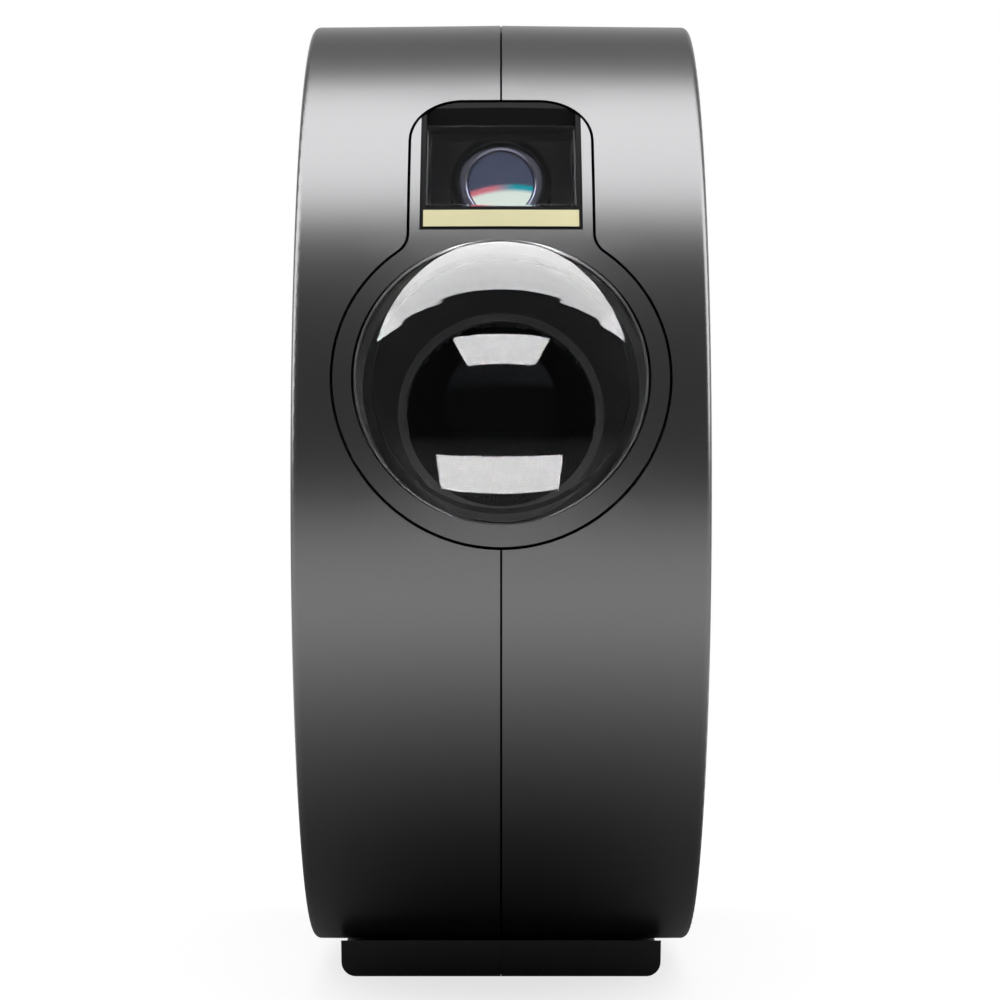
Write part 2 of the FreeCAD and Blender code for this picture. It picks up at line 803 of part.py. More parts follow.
def make_window_frame():
    """Black box of the laser window: thin lips below and above, a seat for the sloped pane."""
    body = new_body("window_frame")
    half = dim.window_half_width
    foot = WINDOW_FOOT + dim.window_play
    corner_x = dim.neck_half_width - dim.neck_corner
    corner_y = NECK_SHOULDER + leg(dim.neck_corner, half - corner_x)
    outline = [
        (-half, foot),
        (half, foot),
        (half, corner_y),
        (corner_x, NECK_TOP, dim.neck_corner),
        (-corner_x, NECK_TOP),
        (-half, corner_y, dim.neck_corner),
    ]
    base = sketch(body, "XZ_Plane", [outline], turn=dim.lens_elevation, lift=KEYHOLE_BASE)
    pad(body, base, KEYHOLE_HEIGHT)
    trim_above(body, dim.window_sink)
    trim_below(body, dim.window_sink + dim.window_depth)
    deep = dim.drum_radius - dim.window_sink - dim.window_depth - dim.overrun
    lip = dim.drum_radius - dim.window_sink - dim.wall
    for low, high in (
        (dim.window_foot_angle - dim.lens_elevation, dim.lip_foot_angle),
        (dim.lip_top_angle, dim.neck_top_angle + dim.lens_elevation),
    ):
        sector = [
            drum_point(deep, low),
            drum_point(lip, low),
            drum_point(lip, high) + (-lip,),
            drum_point(deep, high),
        ]
        cut(body, sketch(body, "YZ_Plane", [sector], lift=-HALF_WIDTH), dim.drum_width)
    recess = half - dim.window_cheek
    seat = box(-recess, PANE_FOOT, recess, PANE_TOP)
    seat_lift = PANE_FRONT - dim.pane_thickness
    tilt = dim.pane_elevation
    cut(body, sketch(body, "XZ_Plane", [seat], turn=tilt, lift=seat_lift), dim.overrun)
    slope_turn = dim.pane_elevation - dim.slope_angle
    slope_lift = PANE_FRONT * cosine(dim.slope_angle) - PANE_TOP * sine(dim.slope_angle)
    slope_foot = PANE_FRONT * sine(dim.slope_angle) + PANE_TOP * cosine(dim.slope_angle)
    slope = box(-recess, slope_foot - dim.pane_thickness, recess, slope_foot + dim.overrun)
    cut(body, sketch(body, "XZ_Plane", [slope], turn=slope_turn, lift=slope_lift), dim.overrun)
    view = recess - dim.pane_rest
    hole = box(-view, PANE_FOOT + dim.pane_rest, view, PANE_TOP - dim.pane_rest)
    hole_lift = seat_lift - dim.overrun
    cut(body, sketch(body, "XZ_Plane", [hole], turn=tilt, lift=hole_lift), dim.overrun * 2)
    return body


PANE_FOOT = -(dim.drum_radius - dim.pane_sink) * sine(dim.pane_elevation - dim.pane_foot_angle)
PANE_TOP = PANE_FOOT + dim.pane_length
PANE_FRONT = (dim.drum_radius - dim.pane_sink) * cosine(dim.pane_elevation - dim.pane_foot_angle)


def make_window_pane():
    body = new_body("window_pane", dim.pane_elevation)
    half = dim.window_half_width - dim.window_cheek - dim.window_play
    outline = box(-half, PANE_FOOT + dim.window_play, half, PANE_TOP - dim.window_play)
    pad(body, sketch(body, "XY_Plane", [outline], lift=PANE_FRONT - dim.pane_thickness),
        dim.pane_thickness)
    return body


def make_label_strip():
    """Bare strip on the lower lip of the window frame."""
    body = new_body("label_strip")
    low = dim.drum_radius * sine(dim.label_foot_angle - dim.lens_elevation)
    high = dim.drum_radius * sine(dim.label_top_angle - dim.lens_elevation)
    outline = box(-dim.label_half_width, low, dim.label_half_width, high)
    base = sketch(body, "XZ_Plane", [outline], turn=dim.lens_elevation, lift=KEYHOLE_BASE)
    pad(body, base, KEYHOLE_HEIGHT)
    trim_above(body, dim.window_sink - dim.label_thickness)
    trim_below(body, dim.window_sink)
    return body


def make_dome_lens():
    """Clear domed cover: a shell of even wall with a flange, turned about the lens axis."""
    body = new_body("dome_lens", dim.lens_elevation)
    inner = dim.dome_radius - dim.dome_wall
    inner_curve = dim.dome_curve - dim.dome_wall
    centre = dim.dome_edge - leg(dim.dome_curve, dim.dome_radius)
    profile = [
        (0, centre + inner_curve, inner_curve),
        (0, centre + dim.dome_curve),
        (dim.dome_radius, dim.dome_edge, -dim.dome_curve),
        (dim.dome_radius, FLANGE_TOP),
        (dim.dome_flange, FLANGE_TOP),
        (dim.dome_flange, dim.seal_top),
        (inner, dim.seal_top),
        (inner, centre + leg(inner_curve, inner)),
    ]
    revolve(body, sketch(body, "XZ_Plane", [profile]), "V_Axis")
    return body


def make_ring(label, inner, outer, back, front, up=0):
    body = new_body(label, dim.lens_elevation, up=up)
    rings = [(0, 0, outer), (0, 0, inner)]
    pad(body, sketch(body, "XY_Plane", rings, lift=back), front - back)
    return body


def make_barrel():
    """Front plate of the mechanism with the conical barrel that holds the inner lens."""
    body = new_body("lens_barrel", dim.lens_elevation)
    outline = rounded_box(
        dim.plate_half_width, -dim.plate_half_length, dim.plate_half_length, dim.plate_corner
    )
    pad(body, sketch(body, "XY_Plane", [outline], lift=dim.front_plate_back),
        dim.front_plate_thickness)
    seat = LENS_SEAT
    wall = dim.barrel_wall
    profile = [
        (seat - wall, dim.front_plate_back + dim.front_plate_thickness / 2),
        (seat + wall, dim.front_plate_back + dim.front_plate_thickness / 2),
        (seat + wall, CONE_FOOT),
        (dim.barrel_mouth + wall, BARREL_RIM_BACK),
        (dim.barrel_flange, BARREL_RIM_BACK),
        (dim.barrel_flange, SEAL_BOTTOM),
        (dim.barrel_mouth, SEAL_BOTTOM),
        (seat, CONE_FOOT),
        (seat, dim.inner_lens_edge),
        (seat - wall, dim.inner_lens_edge),
    ]
    revolve(body, sketch(body, "XZ_Plane", [profile]), "V_Axis")
    beam = [(0, 0, seat - wall), (0, LASER_UP, dim.laser_lens_radius)]
    cut(body, sketch(body, "XY_Plane", beam), dim.inner_lens_edge)
    hole = dim.axle_radius + dim.screw_fit / 2
    posts = [(x, y, dim.post_screw_radius + dim.screw_fit) for x, y in post_places()]
    axles = [(0, WHEEL_UP, hole), (0, IDLER_UP, hole)]
    cut(body, sketch(body, "XY_Plane", posts), dim.inner_lens_edge)
    cut(body, sketch(body, "XY_Plane", axles), dim.front_plate_back + dim.axle_seat)
    return body


def post_places():
    return [(x, y) for x in (-dim.post_across, dim.post_across) for y in (dim.post_up, -dim.post_down)]


def make_optics_frame():
    """Rear plate of the mechanism with its posts, the sleeve of the grating gear and two ears."""
    body = new_body("optics_frame", dim.lens_elevation)
    outline = rounded_box(
        dim.plate_half_width, -dim.plate_half_length, dim.plate_half_length, dim.plate_corner
    )
    pad(body, sketch(body, "XY_Plane", [outline], lift=dim.rear_plate_back),
        dim.rear_plate_thickness)
    middle = dim.rear_plate_back + dim.rear_plate_thickness / 2
    posts = [(x, y, dim.post_radius) for x, y in post_places()]
    pad(body, sketch(body, "XY_Plane", posts, lift=middle), dim.front_plate_back - middle)
    sleeve = [(0, LASER_UP, dim.sleeve_outer)]
    pad(body, sketch(body, "XY_Plane", sleeve, lift=middle), SLEEVE_TOP - middle)
    shoulder = [(0, LASER_UP, dim.sleeve_shoulder)]
    pad(body, sketch(body, "XY_Plane", shoulder, lift=middle), dim.gear_back - dim.hub_end_play - middle)
    half = dim.rear_plate_thickness / 2
    arms = [
        box(-dim.ear_half_width, sign * dim.plate_half_length - half,
            dim.ear_half_width, sign * EAR_UP + half)
        if sign > 0
        else box(-dim.ear_half_width, sign * EAR_UP - half,
                 dim.ear_half_width, sign * dim.plate_half_length + half)
        for sign in (1, -1)
    ]
    pad(body, sketch(body, "XY_Plane", arms, lift=dim.rear_plate_back), dim.rear_plate_thickness)
    ears = [(sign * EAR_UP, EAR_OUT, dim.ear_radius) for sign in (1, -1)]
    pad(body, sketch(body, "YZ_Plane", ears, lift=-dim.ear_half_width), dim.ear_half_width * 2)
    bores = [(sign * EAR_UP, EAR_OUT, dim.shell_screw_radius + dim.screw_fit) for sign in (1, -1)]
    cut(body, sketch(body, "YZ_Plane", bores, lift=-dim.overrun), dim.overrun * 2)
    deep = dim.front_plate_back - dim.post_screw_length
    pilots = [(x, y, dim.post_screw_radius + dim.screw_fit) for x, y in post_places()]
    cut(body, sketch(body, "XY_Plane", pilots, lift=deep), dim.post_screw_length + dim.overrun)
    collimator = dim.collimator_front + dim.screw_fit
    holes = [
        (0, 0, collimator),
        (0, LASER_UP, dim.sleeve_inner),
        (0, MOTOR_UP, dim.motor_shaft_radius + dim.shaft_hole_play),
    ]
    through = dim.rear_plate_thickness + dim.overrun
    cut(body, sketch(body, "XY_Plane", holes, lift=dim.rear_plate_back - dim.overrun / 4), through)
    small = [(x, MOTOR_UP, dim.motor_screw_radius + dim.screw_fit) for x in motor_screw_places()]
    small += [(x, y, dim.sink_screw_radius + dim.screw_fit) for x, y in sink_screw_places()]
    cut(body, sketch(body, "XY_Plane", small, lift=dim.rear_plate_back - dim.overrun / 4), through)
    hole = dim.axle_radius + dim.screw_fit / 2
    axles = [(0, WHEEL_UP, hole), (0, IDLER_UP, hole)]
    cut(body, sketch(body, "XY_Plane", axles, lift=REAR_PLATE_FRONT - dim.axle_seat), dim.overrun)
    return body


def motor_screw_places():
    return [-dim.motor_screw_across, dim.motor_screw_across]


def sink_screw_places():
    across = dim.sink_half_width - dim.sink_leg
    along = dim.sink_half_height - dim.sink_leg
    return [(across, along), (-across, along), (across, -along), (-across, -along)]


def make_screws(label, places, seat, head, height, shank, length, angle=None, plane="XY_Plane", sign=1):
    """A group of equal screws square to a plane, with their heads on the side that sign gives."""
    body = new_body(label, angle)
    head_lift = seat if sign > 0 else seat - height
    shank_lift = seat - length if sign > 0 else seat
    heads = [(x, y, head) for x, y in places]
    shanks = [(x, y, shank) for x, y in places]
    pad(body, sketch(body, plane, heads, lift=head_lift), height)
    pad(body, sketch(body, plane, shanks, lift=shank_lift), length)
    return body


def make_inner_lens():
    """Biconvex lens at the foot of the barrel."""
    body = new_body("inner_lens", dim.lens_elevation)
    radius = dim.inner_lens_radius
    clear = radius - dim.inner_lens_shoulder
    rise = dim.inner_lens_curve - leg(dim.inner_lens_curve, clear)
    back_clear = radius - dim.inner_lens_back_shoulder
    back_rise = dim.inner_lens_back_curve - leg(dim.inner_lens_back_curve, back_clear)
    profile = [
        (0, dim.inner_lens_edge - back_rise),
        (back_clear, dim.inner_lens_edge, dim.inner_lens_back_curve),
        (radius, dim.inner_lens_edge),
        (radius, LENS_EDGE_TOP),
        (clear, LENS_EDGE_TOP),
        (0, LENS_EDGE_TOP + rise, dim.inner_lens_curve),
    ]
    revolve(body, sketch(body, "XZ_Plane", [profile]), "V_Axis")
    return body


def make_gear(label, teeth, up, bore, tooth_on_top):
    """Spur gear with straight flanks; the first gap lies on top or half a tooth beside it."""
    body = new_body(label, dim.lens_elevation, up=up)
    tip = dim.gear_module * (teeth / 2 + ADDENDUM_SHARE)
    rings = [(0, 0, tip), (0, 0, bore)]
    pad(body, sketch(body, "XY_Plane", rings, lift=dim.gear_back), dim.gear_width)
    middle = 180 / teeth if tooth_on_top else 0
    flank = math.tan(math.radians(PRESSURE_ANGLE))
    corners = []
    for share in (-DEDENDUM_SHARE, DEDENDUM_SHARE):
        radius = dim.gear_module * (teeth / 2 + share)
        half = dim.gear_module * (math.pi / 4 + share * flank) + dim.tooth_thinning / 2
        half_angle = half / radius * math.degrees(1)
        corners.append([
            (radius * sine(middle + sign * half_angle), radius * cosine(middle + sign * half_angle))
            for sign in (-1, 1)
        ])
    inner, outer = corners
    outline = [inner[0], inner[1], outer[1], outer[0]]
    gap = cut(body, sketch(body, "XY_Plane", [outline], lift=dim.gear_back - dim.gear_width),
              dim.gear_width * 3)
    round_pattern(body, gap, teeth)
    return body


HUB_BACK = REAR_PLATE_FRONT + dim.hub_end_play
HUB_FRONT = dim.front_plate_back - dim.hub_end_play
DISC_BACK = dim.gear_back + (dim.gear_width - dim.disc_thickness) / 2
RING_INNER = dim.gear_module * (WHEEL_TEETH / 2 - DEDENDUM_SHARE) - dim.ring_width
BORE = dim.axle_radius + dim.running_fit


def make_hub():
    """Hub of the nebula wheel, with a flange that carries the glass disc."""
    body = new_body("wheel_hub", dim.lens_elevation, up=WHEEL_UP)
    flange = DISC_BACK + dim.disc_thickness
    profile = [
        (BORE, HUB_BACK),
        (dim.hub_radius, HUB_BACK),
        (dim.hub_radius, flange),
        (dim.hub_flange, flange),
        (dim.hub_flange, flange + dim.hub_flange_height),
        (dim.hub_radius, flange + dim.hub_flange_height),
        (dim.hub_radius, HUB_FRONT),
        (BORE, HUB_FRONT),
    ]
    revolve(body, sketch(body, "XZ_Plane", [profile]), "V_Axis")
    return body


def make_rod(label, radius, back, front, up=0):
    body = new_body(label, dim.lens_elevation, up=up)
    pad(body, sketch(body, "XY_Plane", [(0, 0, radius)], lift=back), front - back)
    return body


def make_idler():
    body = make_gear("idler_gear", IDLER_TEETH, IDLER_UP, BORE, True)
    rings = [(0, 0, dim.idler_hub_radius), (0, 0, BORE)]
    pad(body, sketch(body, "XY_Plane", rings, lift=HUB_BACK), HUB_FRONT - HUB_BACK)
    return body


def make_motor():
    """Small gear motor: square gearbox, flattened can and tail bearing."""
    body = new_body("drive_motor", dim.lens_elevation, up=MOTOR_UP)
    face = dim.rear_plate_back
    gearbox = [centred_box(dim.motor_half_width, dim.motor_half_height)]
    back = face - dim.gearbox_length
    pad(body, sketch(body, "XY_Plane", gearbox, lift=back), dim.gearbox_length)
    half = dim.motor_half_height
    can = [rounded_box(dim.motor_half_width, -half, half, half - dim.screw_fit)]
    tail = back - dim.motor_can_length
    pad(body, sketch(body, "XY_Plane", can, lift=tail), dim.motor_can_length)
    bearing = dim.motor_shaft_radius * 2
    pad(body, sketch(body, "XY_Plane", [(0, 0, bearing)], lift=tail - dim.motor_head_height),
        dim.motor_head_height)
    socket = [(0, 0, dim.motor_shaft_radius + dim.running_fit)]
    cut(body, sketch(body, "XY_Plane", socket, lift=face - dim.shaft_socket), dim.overrun)
    pilots = [(x, 0, dim.motor_screw_radius + dim.screw_fit) for x in motor_screw_places()]
    depth = dim.motor_screw_bite + dim.screw_fit
    cut(body, sketch(body, "XY_Plane", pilots, lift=face - depth), dim.overrun)
    return body


def make_collimator():
    """Cone lens in front of the lamp, hung by its flange in the rear plate."""
    body = new_body("collimator_lens", dim.lens_elevation)
    back = dim.led_board_top + dim.led_height + dim.collimator_gap
    profile = [
        (0, back),
        (dim.collimator_back, back),
        (dim.collimator_front, REAR_PLATE_FRONT),
        (dim.collimator_flange, REAR_PLATE_FRONT),
        (dim.collimator_flange, REAR_PLATE_FRONT + dim.collimator_flange_height),
        (0, REAR_PLATE_FRONT + dim.collimator_flange_height),
    ]
    revolve(body, sketch(body, "XZ_Plane", [profile]), "V_Axis")
    return body


SINK_FACE = dim.led_board_top - dim.led_board_thickness


def make_led_board():
    body = new_body("led_board", dim.lens_elevation)
    outline = [centred_box(dim.led_board_half, dim.led_board_half)]
    pad(body, sketch(body, "XY_Plane", outline, lift=SINK_FACE), dim.led_board_thickness)
    return body


def make_led_chips():
    """Four lamp chips in a square."""
    body = new_body("led_chips", dim.lens_elevation)
    chips = [
        centred_box(dim.led_half, dim.led_half, x, y)
        for x in (-dim.led_pitch, dim.led_pitch)
        for y in (-dim.led_pitch, dim.led_pitch)
    ]
    pad(body, sketch(body, "XY_Plane", chips, lift=dim.led_board_top), dim.led_height)
    return body


def make_led_sink():
    """Heat sink behind the lamp: base, upright fins and four legs to the rear plate."""
    body = new_body("led_heat_sink", dim.lens_elevation)
    outline = [centred_box(dim.sink_half_width, dim.sink_half_height)]
    base_back = SINK_FACE - dim.sink_base
    pad(body, sketch(body, "XY_Plane", outline, lift=base_back), dim.sink_base)
    step = (dim.sink_half_width * 2 - dim.sink_fin_width) / (SINK_FINS - 1)
    fins = [
        centred_box(dim.sink_fin_width / 2, dim.sink_half_height,
                    i * step - dim.sink_half_width + dim.sink_fin_width / 2)
        for i in range(SINK_FINS)
    ]
    pad(body, sketch(body, "XY_Plane", fins, lift=base_back - dim.sink_fin_height),
        dim.sink_fin_height)
    legs = [(x, y, dim.sink_leg) for x, y in sink_screw_places()]
    pad(body, sketch(body, "XY_Plane", legs, lift=SINK_FACE - dim.sink_base / 2),
        dim.rear_plate_back - SINK_FACE + dim.sink_base / 2)
    pilots = [(x, y, dim.sink_screw_radius + dim.screw_fit) for x, y in sink_screw_places()]
    cut(body, sketch(body, "XY_Plane", pilots, lift=SINK_FACE), dim.overrun)
    return body


def make_laser_tube():
    """Black tube with the laser's front lens and the iris behind it."""
    body = new_body("laser_tube", dim.lens_elevation, up=LASER_UP)
    bore = dim.laser_lens_radius + dim.lens_fit
    iris_front = dim.laser_tube_front - dim.laser_iris_depth
    iris_back = iris_front - dim.laser_iris_wall
    profile = [
        (bore, FRONT_PLATE_FRONT),
        (TUBE_OUTER, FRONT_PLATE_FRONT),
        (TUBE_OUTER, dim.laser_tube_front),
        (bore, dim.laser_tube_front),
        (bore, iris_front),
        (dim.laser_iris_radius, iris_front),
        (dim.laser_iris_radius, iris_back),
        (bore, iris_back),
    ]
    revolve(body, sketch(body, "XZ_Plane", [profile]), "V_Axis")
    return body


def make_laser():
    """Laser module: a metal barrel with a small opening in front."""
    body = new_body("laser_module", dim.lens_elevation, up=LASER_UP)
    nose = dim.rear_plate_back + dim.laser_nose
    back = dim.rear_plate_back - dim.laser_length
    profile = [
        (0, back),
        (dim.laser_radius, back),
        (dim.laser_radius, nose),
        (dim.laser_beam_radius, nose),
        (dim.laser_beam_radius, dim.rear_plate_back),
        (0, dim.rear_plate_back),
    ]
    revolve(body, sketch(body, "XZ_Plane", [profile]), "V_Axis")
    return body


def make_laser_sink():
    """Slotted aluminium block round the laser module."""
    body = new_body("laser_heat_sink", dim.lens_elevation, up=LASER_UP)
    half_x = dim.laser_sink_half_width
    half_y = dim.laser_sink_half_height
    front = dim.rear_plate_back - dim.laser_sink_gap
    back = front - dim.laser_sink_length
    outline = [centred_box(half_x, half_y), (0, 0, dim.laser_radius + dim.running_fit)]
    pad(body, sketch(body, "XY_Plane", outline, lift=back), dim.laser_sink_length)
    step = dim.laser_sink_length / (LASER_SLOTS + 1)
    slots = [
        box(half_y - dim.laser_slot_depth, back + (i + 1) * step - dim.laser_slot_width / 2,
            half_y + dim.overrun, back + (i + 1) * step + dim.laser_slot_width / 2)
        for i in range(LASER_SLOTS)
    ]
    cut(body, sketch(body, "YZ_Plane", slots, lift=-half_x), half_x * 2)
    return body


STRIP_INNER = dim.drum_radius - dim.strip_sink - dim.wall


def button_turn(index):
    return (index - (BUTTONS - 1) / 2) * dim.button_spacing_angle


def make_rear_panel():
    """Control strip on the back, with its openings and four posts for the control board."""
    body = new_body("rear_panel")
    base = STRIP_INNER * cosine(dim.strip_half_span) - dim.overrun / 4
    height = dim.drum_radius + dim.overrun / 4 - base
    pad(body, strip_sketch(body, lift=base), height)
    trim_above(body, dim.strip_sink)
    trim_below(body, dim.strip_sink + dim.wall)
    along = dim.board_post_along
    top = leg(STRIP_INNER + dim.wall / 2, along + dim.board_post_radius)
    posts = [(x, y, dim.board_post_radius) for x, y in board_places()]
    post = sketch(body, "XZ_Plane", posts, turn=dim.button_angle, lift=dim.board_top)
    pad(body, post, top - dim.board_top)
    pilots = [(x, y, dim.board_screw_radius + dim.screw_fit) for x, y in board_places()]
    pilot = sketch(body, "XZ_Plane", pilots, turn=dim.button_angle, lift=dim.board_top)
    cut(body, pilot, dim.board_screw_bite)
    for index in range(BUTTONS):
        hole = [(0, 0, dim.button_radius + dim.button_play)]
        turn = dim.button_angle + button_turn(index)
        cut(body, sketch(body, "XZ_Plane", hole, turn=turn, lift=dim.board_top), dim.drum_radius)
    nose = [(0, 0, dim.jack_nose_radius + dim.jack_play)]
    jack = sketch(body, "XZ_Plane", nose, turn=dim.jack_angle, lift=dim.board_top)
    cut(body, jack, dim.drum_radius)
    return body


def board_places():
    across = dim.board_post_across
    along = dim.board_post_along
    return [(x, y) for x in (-across, across) for y in (-along, along)]


def make_control_board():
    body = new_body("control_board", dim.button_angle)
    outline = [centred_box(dim.board_half_width, dim.board_half_length)]
    outline += [(x, y, dim.board_screw_radius + dim.screw_fit) for x, y in board_places()]
    pad(body, sketch(body, "XY_Plane", outline, lift=dim.board_top - dim.board_thickness),
        dim.board_thickness)
    return body


SWITCH_TOP = dim.board_top + dim.switch_height


def make_switches():
    """One push switch under each button."""
    body = new_body("push_switches", dim.button_angle)
    squares = []
    for index in range(BUTTONS):
        turn = button_turn(index)
        y = SWITCH_TOP * sine(turn) / cosine(turn)
        squares.append(centred_box(dim.switch_half, dim.switch_half, 0, y))
    pad(body, sketch(body, "XY_Plane", squares, lift=dim.board_top), dim.switch_height)
    return body


def make_button(index):
    """Round key with a flange under the panel and a stem over its switch."""
    turn = button_turn(index)
    body = new_body("button_%d" % (index + 1), dim.button_angle + turn)
    lean = turn if turn.number >= 0 else -turn
    stem_end = (SWITCH_TOP + dim.button_gap + dim.button_stem_radius * sine(lean)) / cosine(lean)
    stem_end = stem_end + dim.button_travel
    flange_top = leg(STRIP_INNER, dim.button_flange) - dim.button_play
    flange_foot = flange_top - dim.button_flange_height
    stem = [(0, 0, dim.button_stem_radius)]
    flange = [(0, 0, dim.button_flange)]
    cap = [(0, 0, dim.button_radius)]
    pad(body, sketch(body, "XY_Plane", flange, lift=flange_foot), dim.button_flange_height)
    pad(body, sketch(body, "XY_Plane", cap, lift=flange_foot),
        dim.drum_radius - dim.strip_sink + dim.button_rise - flange_foot)
    pad(body, sketch(body, "XY_Plane", stem, lift=stem_end), flange_top - stem_end)
    return body


def make_jack():
    """Round power inlet with its centre pin, seated under the control strip."""
    body = new_body("power_jack", dim.jack_angle)
    shoulder = leg(STRIP_INNER, dim.jack_body_radius) - dim.jack_play
    top = dim.drum_radius - dim.strip_sink * 2
    floor = top - dim.jack_bore_depth
    pin = top - dim.strip_sink * 2
    profile = [
        (0, top - dim.jack_length),
        (dim.jack_body_radius, top - dim.jack_length),
        (dim.jack_body_radius, shoulder),
        (dim.jack_nose_radius, shoulder),
        (dim.jack_nose_radius, top),
        (dim.jack_bore_radius, top),
        (dim.jack_bore_radius, floor),
        (dim.jack_pin_radius, floor),
        (dim.jack_pin_radius, pin),
        (0, pin),
    ]
    revolve(body, sketch(body, "XZ_Plane", [profile]), "V_Axis")
    return body


SADDLE = dim.drum_radius + dim.saddle_gap
FOOT_UNDERSIDE = dim.sole_thickness - dim.sole_recess - AXIS_HEIGHT
SHOE_TOP = dim.drum_radius - dim.wall - dim.shoe_gap
ROOT_TOP = SADDLE + dim.root_cover


def guide_profile(grow=0):
    """Half of the guide's section: shoe inside the drum, web in its slot, root in the stand."""
    return [
        (0, SHOE_TOP - dim.shoe_thickness - grow),
        (dim.shoe_half_width + grow, SHOE_TOP - dim.shoe_thickness - grow),
        (dim.shoe_half_width + grow, SHOE_TOP + grow),
        (dim.web_half_width + grow, SHOE_TOP + grow),
        (dim.web_half_width + grow, ROOT_TOP - grow),
        (dim.root_half_width + grow, ROOT_TOP - grow),
        (dim.root_half_width + grow, ROOT_TOP + dim.root_thickness + grow),
        (0, ROOT_TOP + dim.root_thickness + grow),
    ]


def make_stand(label, side):
    """One half of the stand: foot with rounded lower edge, saddle round the drum, guide groove."""
    body = new_body(label)
    top = dim.saddle_height - AXIS_HEIGHT
    corner = dim.foot_corner
    front = [
        (side * dim.seam_gap / 2, FOOT_UNDERSIDE),
        (side * (FOOT_HALF_LOW - corner), FOOT_UNDERSIDE),
        (side * FOOT_HALF_LOW, FOOT_UNDERSIDE + corner, side * corner),
        (side * FOOT_HALF_WIDTH, top),
        (side * dim.seam_gap / 2, top),
    ]
    pad(body, sketch(body, "XZ_Plane", [front], lift=-dim.foot_back),
        dim.foot_back + dim.foot_front)
    groove(body, sketch(body, "XY_Plane", [box(-HALF_WIDTH, 0, HALF_WIDTH, SADDLE)]))
    back = dim.foot_back
    slope = [
        (back, FOOT_UNDERSIDE + corner),
        (back + dim.overrun, FOOT_UNDERSIDE + corner),
        (back + dim.overrun, top + dim.overrun),
        (back - dim.saddle_back_slope, top + dim.overrun),
        (back - dim.saddle_back_slope, top),
    ]
    cut(body, sketch(body, "YZ_Plane", [slope], lift=-HALF_WIDTH), dim.drum_width)
    turn = 180 + dim.guide_from_angle - dim.guide_fit_angle
    hollow = [(side * x, r) for x, r in guide_profile(dim.guide_fit)]
    groove(body, sketch(body, "XY_Plane", [hollow], turn=turn),
           angle=dim.guide_sweep + 2 * dim.guide_fit_angle)
    sole = [sole_outline(dim.guide_fit)]
    cut(body, sketch(body, "XY_Plane", sole, lift=-AXIS_HEIGHT), dim.sole_thickness)
    shank = [(y, z, dim.stand_screw_radius + dim.screw_fit) for y, z in stand_screw_places()]
    reach = STAND_SCREW_REACH
    if side > 0:
        cut(body, sketch(body, "YZ_Plane", shank), reach + dim.screw_fit)
    else:
        cut(body, sketch(body, "YZ_Plane", shank, lift=-reach), reach)
        heads = [(y, z, dim.stand_head_radius + dim.screw_fit) for y, z in stand_screw_places()]
        cut(body, sketch(body, "YZ_Plane", heads, lift=-HALF_WIDTH), HALF_WIDTH - reach)
    return body


def stand_screw_places():
    z = dim.stand_screw_up - AXIS_HEIGHT
    return [(dim.stand_screw_front, z), (dim.stand_screw_back, z)]


def sole_outline(grow=0):
    return rounded_box(
        FOOT_HALF_LOW - dim.sole_inset + grow, -dim.sole_front - grow, dim.sole_back + grow,
        dim.sole_corner + grow
    )


def make_guide():
    body = new_body("guide_shoe")
    half = guide_profile()[1:-1]
    profile = half + [(-x, r) for x, r in reversed(half)]
    turn = 180 + dim.guide_from_angle
    revolve(body, sketch(body, "XY_Plane", [profile], turn=turn), angle=dim.guide_sweep)
    return body


def make_saddle_pads():
    """Two felt strips on the saddle."""
    body = new_body("saddle_pads")
    half = dim.pad_width / 2
    strips = [
        box(x - half, dim.drum_radius + dim.pad_gap, x + half, SADDLE)
        for x in (-dim.pad_across, dim.pad_across)
    ]
    turn = 180 + dim.pad_from_angle
    revolve(body, sketch(body, "XY_Plane", strips, turn=turn), angle=dim.pad_sweep)
    return body


def make_sole():
    """Soft sole under both halves of the stand."""
    body = new_body("foot_sole")
    drawing = sketch(body, "XY_Plane", [sole_outline()], lift=-AXIS_HEIGHT)
    pad(body, drawing, dim.sole_thickness)
    return body


